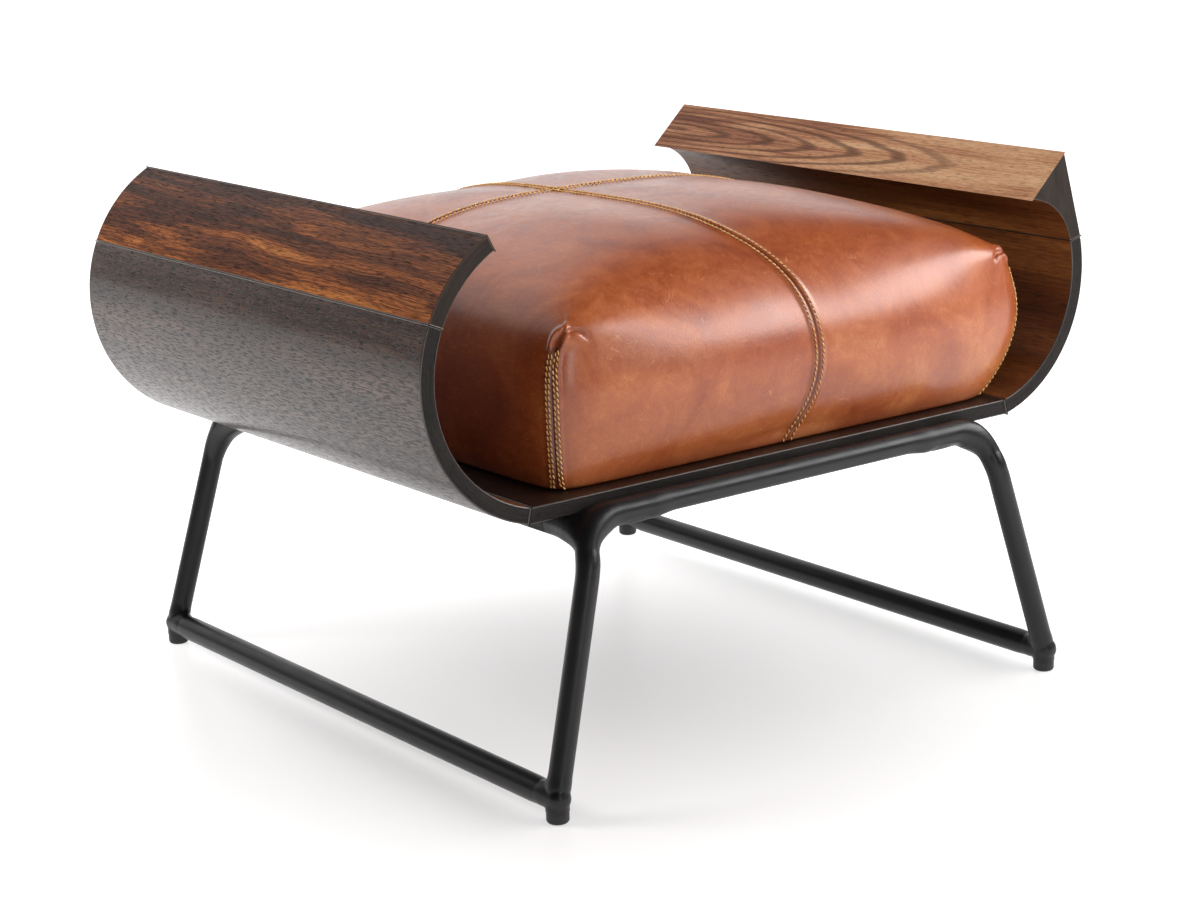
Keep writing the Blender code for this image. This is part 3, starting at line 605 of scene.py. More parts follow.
class Skin:
    """Gathers grids of points into one closed mesh, with a grain map and face finishes."""

    def __init__(self) -> None:
        """Start with no points."""
        self.points: list[Array] = []
        self.faces: list[list[int]] = []
        self.maps: list[Array] = []
        self.slots: list[int] = []
        self.total = 0

    def place(self, points: Array) -> Array:
        """Add points and give their vertex numbers, in the same arrangement.

        Args:
            points: points in any arrangement, with x, y and z last.

        Returns:
            The vertex numbers.
        """
        count = points.size // 3
        ids = np.arange(self.total, self.total + count).reshape(points.shape[:-1])
        self.points.append(points.reshape(-1, 3))
        self.total += count
        return ids

    def patch(self, ids: Array, grain: Array | None = None, slot: int = 0) -> None:
        """Fill a grid of vertices with faces.

        Args:
            ids: the vertex numbers by row and column.
            grain: the grain map's place of each vertex, across and along, or None.
            slot: the number of the faces' finish.
        """
        faces = quads(ids)
        local = quads(np.arange(ids.size).reshape(ids.shape))
        spread = np.zeros((ids.size, 2)) if grain is None else grain.reshape(-1, 2)
        self.faces += faces.tolist()
        self.maps.append(spread[local.reshape(-1)])
        self.slots += [slot] * len(faces)

    def cap(self, ring: Array) -> None:
        """Close a ring of vertices with one face.

        Args:
            ring: the vertex numbers in order.
        """
        self.faces.append(ring.tolist())
        self.maps.append(np.zeros((len(ring), 2)))
        self.slots.append(0)

    def tube(self, points: Array) -> None:
        """Join rings of points into a tube with closed ends.

        Args:
            points: the points by ring and by place round it.
        """
        ids = self.place(points)
        self.patch(np.concatenate([ids, ids[:, :1]], axis=1))
        self.cap(ids[0][::-1])
        self.cap(ids[-1])

    def mesh(self, name: str, materials: Sequence[bpy.types.Material]) -> bpy.types.Mesh:
        """Make the mesh with its faces pointing out.

        The sum of each face's corner products is six times the volume inside, so its sign says
        whether the faces point out.

        Args:
            name: the mesh's name.
            materials: the finishes, by slot number.

        Returns:
            The mesh.
        """
        points = np.concatenate(self.points)
        four = np.array([face for face in self.faces if len(face) == 4])
        halves = np.concatenate([four[:, :3], four[:, [0, 2, 3]]])
        first, second, third = (points[halves[:, corner]] for corner in range(3))
        inward = np.einsum("ij,ij->", first, np.cross(second, third)) < 0
        mesh = bpy.data.meshes.new(name)
        mesh.from_pydata(points.tolist(), [], self.faces)
        layer = mesh.uv_layers.new(name=GRAIN_MAP)
        layer.uv.foreach_set("vector", np.concatenate(self.maps).astype(np.float32).ravel())
        mesh.polygons.foreach_set("material_index", np.array(self.slots, dtype=np.int32))
        if inward:
            mesh.flip_normals()
        for material in materials:
            mesh.materials.append(material)
        mesh.shade_smooth()
        mesh.validate()
        return mesh


def dress(mesh: bpy.types.Mesh, name: str, nodes: Sequence[str] = ()) -> bpy.types.Object:
    """Put a piece in the scene, tie it to its body and report it.

    Args:
        mesh: the piece's mesh, in place.
        name: the piece's name.
        nodes: the frame's nodes that the piece stands for.

    Returns:
        The object.
    """
    piece = bpy.data.objects.new(name, mesh)
    bpy.context.scene.collection.objects.link(piece)
    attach(piece, BODY)
    if nodes:
        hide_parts(*nodes)
    LOG.info("%s: %d points, %d faces", name, len(mesh.vertices), len(mesh.polygons))
    return piece


@dataclass
class BentWork:
    """The seat board, the bent side shells and their caps: outlines carried along the depth."""

    inner_radius: float = 0.1083
    start_turn: float = math.radians(13.7)
    left_seam: float = math.radians(113.8)
    left_tip: float = math.radians(152.4)
    right_seam: float = math.radians(103.0)
    wedge_outer_length: float = 0.0783
    wedge_outer_lean: float = math.radians(16.2)
    wedge_top_width: float = 0.054
    wedge_top_slope: float = math.radians(43.2)
    joint_gap: float = 0.0003
    edge_round: float = 0.0010
    edge_turn: float = math.radians(35)
    arc_points: int = 70
    grain_shift: float = 3.1

    def __post_init__(self) -> None:
        """Take the board's place and thickness from the frame."""
        low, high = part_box("seat_board")
        self.half_depth = high.y
        self.top = high.z
        self.ply = high.z - low.z
        self.outer_radius = self.inner_radius + self.ply
        self.half_turn = self.joint_gap / 2 / (self.inner_radius + self.ply / 2)
        self.axis_x = high.x - self.outer_radius * math.sin(self.start_turn - 2 * self.half_turn)
        self.axis_z = high.z + self.inner_radius * math.cos(self.start_turn)

    def build(self) -> None:
        """Make and dress the board, the shells and the caps."""
        cut = (Face.END, Face.START, Face.TIP)
        shell = {Face.OUTER: WENGE, Face.INNER: WALNUT, **dict.fromkeys(cut, PLY_EDGE), Face.ARRIS: PLY_ARRIS_PAINTED_HIGHLIGHT}
        # The board's top is painted near black as the cushion's shade
        board = {**shell, Face.INNER: WALNUT_WITH_PAINTED_SHADE}
        ends = dict.fromkeys(cut, CAP_END)
        left = {Face.OUTER: ROSEWOOD, Face.INNER: WALNUT, **ends, Face.ARRIS: CAP_ARRIS}
        right = {**left, Face.TIP: ROSEWOOD_FLAT}
        finishes = dict.fromkeys((*shell.values(), *board.values(), *right.values(), *left.values()))
        self.finishes = {finish: finish.material() for finish in finishes}
        joint = self.start_turn - 2 * self.half_turn
        flat = [
            np.array([(side * (self.axis_x + radius * math.sin(joint)), height) for side in SIDES.values()])
            for radius, height in ((self.outer_radius, self.top - self.ply), (self.inner_radius, self.top))
        ]
        self.strip("wood_board", flat, board, "seat_board", 0.0)
        for number, (name, side) in enumerate(SIDES.items(), start=1):
            seam = self.left_seam if side < 0 else self.right_seam
            bent = self.arcs(side, np.linspace(self.start_turn, seam - self.half_turn, self.arc_points))
            shift = number * self.grain_shift
            self.strip(f"wood_shell_{name}", bent, shell, f"side_shell_{name}", shift)
        bent = self.arcs(-1, np.linspace(self.left_seam + self.half_turn, self.left_tip, self.arc_points))
        self.strip("wood_cap_left", bent, left, "armrest_cap_left", 0.0)
        bent = self.wedge(1, self.right_seam + self.half_turn)
        self.strip("wood_cap_right", bent, right, "armrest_cap_right", 0.0)

    def arcs(self, side: int, turn: Array) -> list[Array]:
        """Give the outer and the inner line of a bent strip: circles about the arm's axis.

        Args:
            side: -1 for left, 1 for right.
            turn: the points' angles from straight down.

        Returns:
            The outer and the inner line's x and z.
        """
        way = np.stack([side * np.sin(turn), -np.cos(turn)], axis=-1)
        axis = np.array([side * self.axis_x, self.axis_z])
        return [axis + radius * way for radius in (self.outer_radius, self.inner_radius)]

    def wedge(self, side: int, start: float) -> list[Array]:
        """Give the outer and the inner line of the thick cap.

        The outer line is straight and leans in. The inner one is the arc that leaves the shell's
        inner face in line and ends at the inner edge of the sloping top.

        Args:
            side: -1 for left, 1 for right.
            start: the angle where the cap starts.

        Returns:
            The outer and the inner line's x and z.
        """
        outer, inner = self.arcs(side, np.array(start))
        lean = np.array([-side * math.sin(self.wedge_outer_lean), math.cos(self.wedge_outer_lean)])
        slope = np.array([-side * math.cos(self.wedge_top_slope), -math.sin(self.wedge_top_slope)])
        outer_tip = outer + lean * self.wedge_outer_length
        inner_tip = outer_tip + slope * self.wedge_top_width
        inwards = np.array([-side * math.sin(start), math.cos(start)])
        chord = inner_tip - inner
        radius = chord @ chord / (2 * chord @ inwards)
        middle = inner + inwards * radius
        first, last = (math.atan2(*(point - middle)[::-1]) for point in (inner, inner_tip))
        sweep = (last - first + math.pi) % (2 * math.pi) - math.pi
        share = np.linspace(0.0, 1.0, self.arc_points)
        turn = first + sweep * share
        arc = middle + radius * np.stack([np.cos(turn), np.sin(turn)], axis=-1)
        return [outer + share[:, None] * (outer_tip - outer), arc]

    def strip(
        self, name: str, pair: list[Array], faces: dict[Face, Wood], node: str, shift: float
    ) -> None:
        """Carry the space between two lines along the depth, and map the grain along it.

        The grain map runs with the length of the outline across, and with Y along. On the cut ends
        it runs with the thickness across and the outline along, so layers follow the bend.

        Args:
            name: the piece's name.
            pair: the outer and the inner line's x and z.
            faces: the finish of each face.
            node: the frame's node that the piece stands for.
            shift: what is added to the grain map, so that no two pieces match.
        """
        skin = Skin()
        finishes = list(dict.fromkeys(faces.values()))
        number = {face: finishes.index(finish) for face, finish in faces.items()}
        lines = np.stack(pair)
        depth = np.array([-self.half_depth, self.half_depth])
        x, y = np.broadcast_arrays(lines[:, None, :, 0], depth[None, :, None])
        z = np.broadcast_to(lines[:, None, :, 1], x.shape)
        ids = skin.place(np.stack([x, y, z], axis=-1))
        length = lengths(lines, 1)
        thick = np.linalg.norm(lines[0] - lines[1], axis=-1)
        for line, (face, way) in enumerate(((Face.OUTER, 1), (Face.INNER, -1))):
            grain = np.stack(np.broadcast_arrays(length[line][None], depth[:, None]), axis=-1) + shift
            skin.patch(ids[line][::way], grain[::way], number[face])
        layers = np.stack([np.stack([np.zeros_like(thick), thick]), length], axis=-1) + shift
        for end, way in enumerate((-1, 1)):
            skin.patch(ids[::way, end], layers[::way] + end, number[Face.END])
        for at, face, way in ((0, Face.START, -1), (-1, Face.TIP, 1)):
            across = np.array([[0.0], [thick[at]]])
            grain = np.stack(np.broadcast_arrays(across, depth[None]), axis=-1) + shift
            skin.patch(ids[:, ::way, at], grain[:, ::way], number[face])
        mesh = skin.mesh(name, [self.finishes[finish] for finish in finishes])
        rounded = dress(mesh, name, [node]).modifiers.new("edge_round", "BEVEL")
        rounded.width = self.edge_round
        rounded.segments = 2
        rounded.limit_method = "ANGLE"
        rounded.angle_limit = self.edge_turn
        rounded.harden_normals = True
        rounded.material = number[Face.ARRIS]


def rounded_path(corners: Array, radii: float | Sequence[float], steps: int = 18) -> Array:
    """Run a path through corner points and round each inner corner with an arc.

    Args:
        corners: the points where straight runs meet, with both ends.
        radii: the arcs' radius, or one for each inner corner.
        steps: the number of steps in each arc.

    Returns:
        The path's points.
    """
    runs = [corners[:1]]
    each = np.broadcast_to(radii, len(corners) - 2)
    for before, here, after, radius in zip(corners, corners[1:], corners[2:], each):
        back, ahead = unit(before - here), unit(after - here)
        opening = math.acos(back @ ahead)
        middle = here + unit(back + ahead) * radius / math.sin(opening / 2)
        spoke = here + back * radius / math.tan(opening / 2) - middle
        axis = unit(np.cross(ahead, back))
        turn = np.linspace(0.0, math.pi - opening, steps + 1)[:, None]
        runs.append(middle + np.cos(turn) * spoke + np.sin(turn) * np.cross(axis, spoke))
    runs.append(corners[-1:])
    return np.concatenate(runs)


def away_from(points: Array, path: Array) -> tuple[Array, Array]:
    """Measure how far points lie from a path, and in which direction.

    Args:
        points: the points.
        path: the path's points.

    Returns:
        The distances, and the unit vectors away from the path.
    """
    run = np.diff(path, axis=0)
    offset = points[:, None] - path[None, :-1]
    share = np.clip((offset * run).sum(-1) / (run ** 2).sum(-1), 0.0, 1.0)
    away = offset - share[..., None] * run
    length = np.linalg.norm(away, axis=-1)
    nearest = length.argmin(axis=1)
    rows = np.arange(len(points))
    return length[rows, nearest], unit(away[rows, nearest])


def swept(skin: Skin, path: Array, radius: float, sides: int) -> None:
    """Carry a circle along a path that lies in one plane, and close both ends.

    Args:
        skin: the mesh in the making.
        path: the path's points.
        radius: the circle's radius.
        sides: the number of points round the circle.
    """
    along = unit(np.gradient(path, axis=0))
    bends = np.cross(along[:-1], along[1:])
    normal = unit(bends[np.linalg.norm(bends, axis=-1).argmax()])
    across = np.cross(normal, along)
    turn = np.linspace(0.0, 2 * math.pi, sides, endpoint=False)[None, :, None]
    skin.tube(path[:, None] + radius * (np.cos(turn) * normal + np.sin(turn) * across[:, None]))


def turned(profile: Array, centre: Sequence[float], axis: int, sides: int = 48) -> Skin:
    """Turn a profile about a line through a point.

    Args:
        profile: radius and height of each point, from one end to the other.
        centre: the point that the line runs through.
        axis: 1 for a line along Y, 2 for one along Z.
        sides: the number of points round.

    Returns:
        The mesh in the making, closed at both ends.
    """
    turn = np.linspace(0.0, 2 * math.pi, sides, endpoint=False)
    points = np.empty((len(profile), sides, 3))
    first, second = [place for place in range(3) if place != axis]
    points[..., first] = centre[first] + profile[:, :1] * np.cos(turn)
    points[..., second] = centre[second] + profile[:, :1] * np.sin(turn)
    points[..., axis] = centre[axis] + profile[:, 1:]
    skin = Skin()
    skin.tube(points)
    return skin


@dataclass
class TubeFrame:
    """The leg frames, side rails, floor stretchers and glides of black steel tube."""

    tube_radius: float = 0.0095
    bend_radius: float = 0.034
    knee_radius: float = 0.060
    knee_drop: float = 0.038
    knee_out: float = 0.0147
    rail_drop: float = 0.0148
    leg_inset: float = 0.044
    front_elbow: float = 0.030
    back_elbow: float = 0.055
    board_half_width: float = 0.255
    gap: float = 0.0003
    butt_set_in: float = 0.022
    web_bend: float = 0.050
    web_radius: float = 0.006
    web_drop: float = 0.0078
    corner_blend: float = 0.030
    weld_blend: float = 0.0110
    blend_turn: float = 0.8
    weld_cover: float = 0.0003
    weld_sink: float = 0.0009
    weld_hold: float = 0.024
    weld_fade: float = 0.012
    weld_reach: float = 0.034
    tip_reach: float = 0.0018
    tip_round: float = 0.0088
    tip_radius: float = 0.0094
    tip_taper: float = 0.040
    tip_pole: float = 0.000188
    leg_end: float = 0.0095
    glide_spread: float = 0.0006
    voxel: float = 0.0016
    settle_steps: int = 8
    tube_sides: int = 24
    lip: float = 0.0006
    glide_edge: float = 0.003

    def __post_init__(self) -> None:
        """Take the frame's places from the board, the stretchers and the glides."""
        under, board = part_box("seat_board")
        rail_low, rail_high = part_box("side_rail_right")
        low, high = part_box("stretcher_right")
        glide_low, glide_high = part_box("glide_right_front")
        self.foot_x = (low.x + high.x) / 2
        self.stretcher_z = (low.z + high.z) / 2
        self.stretcher_radius = (high.z - low.z) / 2
        self.stretcher_half = high.y + self.tip_reach
        self.foot_y = -(glide_low.y + glide_high.y) / 2
        self.glide_radius = (glide_high.y - glide_low.y) / 2 + self.glide_spread
        self.rail_y = board.y + self.gap + self.tube_radius
        self.rail_z = board.z - self.rail_drop
        self.top_x = self.board_half_width - self.leg_inset
        self.web_z = under.z - self.web_drop
        share = self.knee_drop / (self.rail_z - self.stretcher_z)
        knee_x = self.top_x + (self.foot_x - self.top_x) * share
        self.foot = np.array([self.foot_x, self.foot_y, self.stretcher_z])
        self.knee = np.array([knee_x, self.rail_y + self.knee_out, self.rail_z - self.knee_drop])
        self.side_x = (rail_low.x + rail_high.x) / 2
        self.side_z = (rail_low.z + rail_high.z) / 2
        self.side_radius = (rail_high.z - rail_low.z) / 2
        self.butt_y = rail_high.y - self.butt_set_in

    def build(self) -> None:
        """Make and dress the frames, rails, stretchers and glides."""
        self.steel = BLACK_STEEL.material()
        nylon = NYLON.material()
        for name, end in ENDS.items():
            self.leg_frame(name, end)
        end = np.array([(self.side_radius - self.lip, 0.0), (self.side_radius, -self.lip)])
        half = np.array([0.0, self.butt_y - 2 * self.gap])
        rail = np.concatenate([(end + half) * (1, -1), (end + half)[::-1]])
        turn = np.linspace(0.0, math.pi / 2, 10)
        curve = np.stack([np.sin(turn), np.cos(turn)], axis=-1) * self.tip_round
        tip = np.array([self.tip_radius, self.stretcher_half]) - self.tip_round + curve
        full = (self.stretcher_radius, self.stretcher_half - self.tip_taper)
        tip = np.concatenate([[(self.tip_pole, self.stretcher_half)], tip, [full]])
        bar = np.concatenate([tip * (1, -1), tip[::-1]])
        edge = np.stack([
            self.glide_radius - self.glide_edge * (1 - np.sin(turn)), self.glide_edge * (1 - np.cos(turn))
        ], axis=-1)
        foot = np.concatenate([edge, [(self.glide_radius, self.leg_end + 2 * self.lip)]])
        for name, side in SIDES.items():
            label = f"tube_rail_{name}"
            mesh = turned(rail, (side * self.side_x, 0.0, self.side_z), 1).mesh(label, [self.steel])
            dress(mesh, label, [f"side_rail_{name}"])
            label = f"tube_stretcher_{name}"
            mesh = turned(bar, (side * self.foot_x, 0.0, self.stretcher_z), 1).mesh(label, [self.steel])
            dress(mesh, label, [f"stretcher_{name}"])
            for end_name, end in ENDS.items():
                label = f"glide_{name}_{end_name}"
                place = (side * self.foot_x, end * self.foot_y, 0.0)
                mesh = turned(foot, place, 2).mesh(f"foot_{label}", [nylon])
                dress(mesh, f"foot_{label}", [label])

    def leg_path(self, end: int) -> Array:
        """Give the middle line of a leg frame: foot, knee, top, top, knee and foot, with round bends.

        Args:
            end: -1 for the front frame, 1 for the back one.

        Returns:
            The path's points.
        """
        tip = self.foot * (1, 1, 0) + (0, 0, self.leg_end)
        corners = np.stack([tip, self.foot, self.knee, (self.top_x, self.rail_y, self.rail_z)])
        corners = np.concatenate([corners * (-1, end, 1), corners[::-1] * (1, end, 1)])
        radii = [self.knee_radius, self.knee_radius, self.bend_radius]
        return rounded_path(corners, radii + radii[::-1])

    def corner_paths(self, side: int, end: int) -> tuple[Array, Array, Array]:
        """Give the middle lines of what joins a leg at one corner.

        The elbow runs up within the leg, then round to past the side rail's butt joint. The web is
        a quarter turn in plan, from the rail to the side rail. The foot's weld runs along the
        stretcher's end, then up within the leg.

        Args:
            side: -1 for left, 1 for right.
            end: -1 for front, 1 for back.

        Returns:
            The points of the elbow, the web and the weld.
        """
        place = (side, end, 1)
        share = (self.side_z - self.foot[2]) / (self.knee[2] - self.foot[2])
        past = np.array([self.side_x, self.butt_y - self.tube_radius, self.side_z])
        elbow = np.stack([self.foot, self.foot + (self.knee - self.foot) * share, past])
        reach = self.web_bend + self.web_radius
        web = np.array([(-reach, 0.0, 0.0), (0.0, 0.0, 0.0), (0.0, -reach, 0.0)])
        web = web + (self.side_x, self.rail_y, self.web_z)
        weld = np.stack([self.foot - (0.0, self.weld_reach, 0.0), self.foot, self.knee])
        return (
            rounded_path(elbow * place, self.front_elbow if end < 0 else self.back_elbow),
            rounded_path(web * place, self.web_bend),
            rounded_path(weld * place, self.tube_radius),
        )

    def leg_frame(self, name: str, end: int) -> None:
        """Make one leg frame with its two elbows, as one skin with soft corners.

        Swept tubes give a closed skin, which is then settled onto the surface where the blended
        distance to the middle lines is nought.

        Args:
            name: front or back.
            end: -1 for the front frame, 1 for the back one.
        """
        legs = self.leg_path(end)
        elbows, webs, welds = zip(*(self.corner_paths(side, end) for side in SIDES.values()))
        joined = [(path, self.side_radius) for path in elbows] + [(path, self.web_radius) for path in webs]
        rough = Skin()
        plain = [(path, self.tube_radius) for path in welds]
        for path, radius in [(legs, self.tube_radius), *joined, *plain]:
            swept(rough, path, radius, self.tube_sides)
        label = f"tube_frame_{name}"
        guide = bpy.data.objects.new(f"{label}_guide", rough.mesh(f"{label}_guide", []))
        bpy.context.scene.collection.objects.link(guide)
        wrap = guide.modifiers.new("skin", "REMESH")
        wrap.mode = "VOXEL"
        wrap.voxel_size = self.voxel
        shown = guide.evaluated_get(bpy.context.evaluated_depsgraph_get())
        mesh = bpy.data.meshes.new_from_object(shown)
        bpy.data.objects.remove(guide)
        points = np.empty(len(mesh.vertices) * 3)
        mesh.vertices.foreach_get("co", points)
        points = self.settled(points.reshape(-1, 3), legs, joined)
        points[:, 1] = end * np.maximum(end * points[:, 1], self.butt_y)
        points[:, 2] = np.maximum(points[:, 2], self.leg_end)
        mesh.vertices.foreach_set("co", points.ravel())
        mesh.name = label
        mesh.materials.clear()
        mesh.materials.append(self.steel)
        mesh.shade_smooth()
        mesh.update()
        dress(mesh, label, [f"{name}_leg_frame"])

    def settled(self, points: Array, legs: Array, joined: Sequence[tuple[Array, float]]) -> Array:
        """Move points onto the blended surface of the tubes.

        Two distances a and b blend as the lesser of them less k/4 times the square of the share of
        k by which they overlap, scaled by how far their directions differ, so a bend between two
        tubes is filled and tubes in line aren't swollen. Nothing is filled below the stretchers'
        axes, where the glides are. Each step moves a point back by its own blended distance, along
        the blended direction.

        Args:
            points: the points to move.
            legs: the middle line of the bent tube.
            joined: the middle lines and radii of the elbows and webs.

        Returns:
            The moved points.
        """
        others = [(partial(away_from, path=path), radius, self.corner_blend) for path, radius in joined]
        others += [(partial(self.off_bar, side=side), 0.0, self.weld_blend) for side in SIDES.values()]
        for _ in range(self.settle_steps):
            distance, away = away_from(points, legs)
            distance = distance - self.tube_radius
            for measure, radius, blend in others:
                other, other_away = measure(points)
                other = other - radius
                overlap = np.clip(1.0 - np.abs(distance - other) / blend, 0.0, 1.0)
                differ = np.clip(self.blend_turn * (1.0 - (away * other_away).sum(-1)), 0.0, 1.0)
                share = np.clip(0.5 + 0.5 * (other - distance) / blend, 0.0, 1.0)[:, None]
                filled = eased((points[:, 2] - self.stretcher_z) / self.weld_blend) * differ
                distance = np.minimum(distance, other) - filled * overlap ** 2 * blend / 4
                away = unit(away * share + other_away * (1.0 - share))
            points = points - distance[:, None] * away
        return points

    def off_bar(self, points: Array, side: int) -> tuple[Array, Array]:
        """Measure how far points lie from a stretcher's skin, and in which direction.

        By distance from its axis and distance along it, the bar is a box with rounded corners. The
        measured skin covers the bar at the leg and sinks into it further along.

        Args:
            points: the points.
            side: -1 for left, 1 for right.

        Returns:
            The distances, less than nought inside, and the unit vectors away from the skin.
        """
        spoke = points - (side * self.foot_x, 0.0, self.stretcher_z)
        along = spoke[:, 1].copy()
        spoke[:, 1] = 0.0
        reach = np.maximum(np.linalg.norm(spoke, axis=-1), 1e-9)
        inset = self.stretcher_half - np.abs(along)
        sunk = self.weld_sink * eased((inset - self.weld_hold) / self.weld_fade) - self.weld_cover
        taper = np.clip((inset - self.tip_round) / (self.tip_taper - self.tip_round), 0.0, 1.0)
        radius = self.tip_radius + (self.stretcher_radius - self.tip_radius) * taper
        ends = np.stack([reach - radius + sunk, -inset - self.weld_cover], axis=-1)
        over = ends + self.tip_round
        outside = np.maximum(over, 0.0)
        inside = np.minimum(over.max(axis=-1), 0.0)
        distance = np.linalg.norm(outside, axis=-1) + inside - self.tip_round
        weight = np.where((inside < 0)[:, None], over == over.max(axis=-1, keepdims=True), outside)
        away = spoke / reach[:, None] * weight[:, :1]
        away[:, 1] = np.sign(along) * weight[:, 1]
        return distance, unit(away)


@dataclass(frozen=True)
class Fold:
    """The puckered fold at a dart's end, in the leather's plane. Each depth and rise is along its normal."""

    hood_shift: float = 0.001
    hood_squash: float = 0.72
    hood_radius: float = 0.0064
    hood_width: float = 0.0023
    hood_rise: float = 0.0026
    open_fade: float = 0.006
    pocket_radius: float = 0.0040
    pocket_depth: float = 0.0042
    mound_up: float = 0.007
    mound_size: float = 0.013
    mound_rise: float = 0.0022
    crease_start: float = 0.005
    crease_reach: float = 0.024
    crease_arch: float = 0.0068
    crease_drop: float = 0.005
    crease_power: float = 0.8
    crease_fades: Pair = (0.10, 0.35)
    crease_width: float = 0.0013
    crease_depth: float = 0.0032
    lobe_place: Pair = (0.013, -0.0065)
    lobe_size: Pair = (0.0085, 0.0055)
    lobe_rise: float = 0.0016
    pucker_place: Pair = (-0.010, -0.016)
    pucker_size: Pair = (0.0035, 0.012)
    pucker_pitch: float = 0.0065
    pucker_rise: float = 0.0004

    def height(self, beside: Array, up: Array) -> Array:
        """Give the fold's height.

        The pleat is a hood: a bell across a horseshoe line that is open at the bottom, with a pocket
        inside it. The front panel laps it with a lobe under an arched crease, which is a bell across
        a raised sine line. The side panel puckers in short waves down the dart.

        Args:
            beside: the distance beside the dart.
            up: the distance up from its end.

        Returns:
            The height to add at each point.
        """
        shift = self.hood_shift
        arch = np.hypot(beside - shift, self.hood_squash * np.maximum(up - shift, 0.0))
        opening = bell(np.minimum(up + shift, 0.0) / self.open_fade)
        rim = bell((arch - self.hood_radius) / self.hood_width) * opening
        pocket = bell(arch / self.pocket_radius) * opening
        mound = bell((up - self.mound_up) / self.mound_size, beside / self.mound_size)
        share = np.clip((beside - self.crease_start) / self.crease_reach, 0.0, 1.0)
        crest = self.crease_arch * np.sin(math.pi * share ** self.crease_power) - self.crease_drop * share
        fade_in, fade_out = self.crease_fades
        fade = eased(share / fade_in) * eased((1 - share) / fade_out)
        crease = bell((up - crest) / self.crease_width) * fade
        (away, above), (wide, tall) = self.lobe_place, self.lobe_size
        lobe = bell((up - crest - above) / tall, (beside - away) / wide)
        (away, above), (wide, tall) = self.pucker_place, self.pucker_size
        waves = bell((beside - away) / wide, (up - above) / tall)
        pucker = waves * np.cos(2 * math.pi * up / self.pucker_pitch)
        swell = self.mound_rise * mound + self.hood_rise * rim + self.lobe_rise * lobe
        return swell + self.pucker_rise * pucker - self.pocket_depth * pocket - self.crease_depth * crease


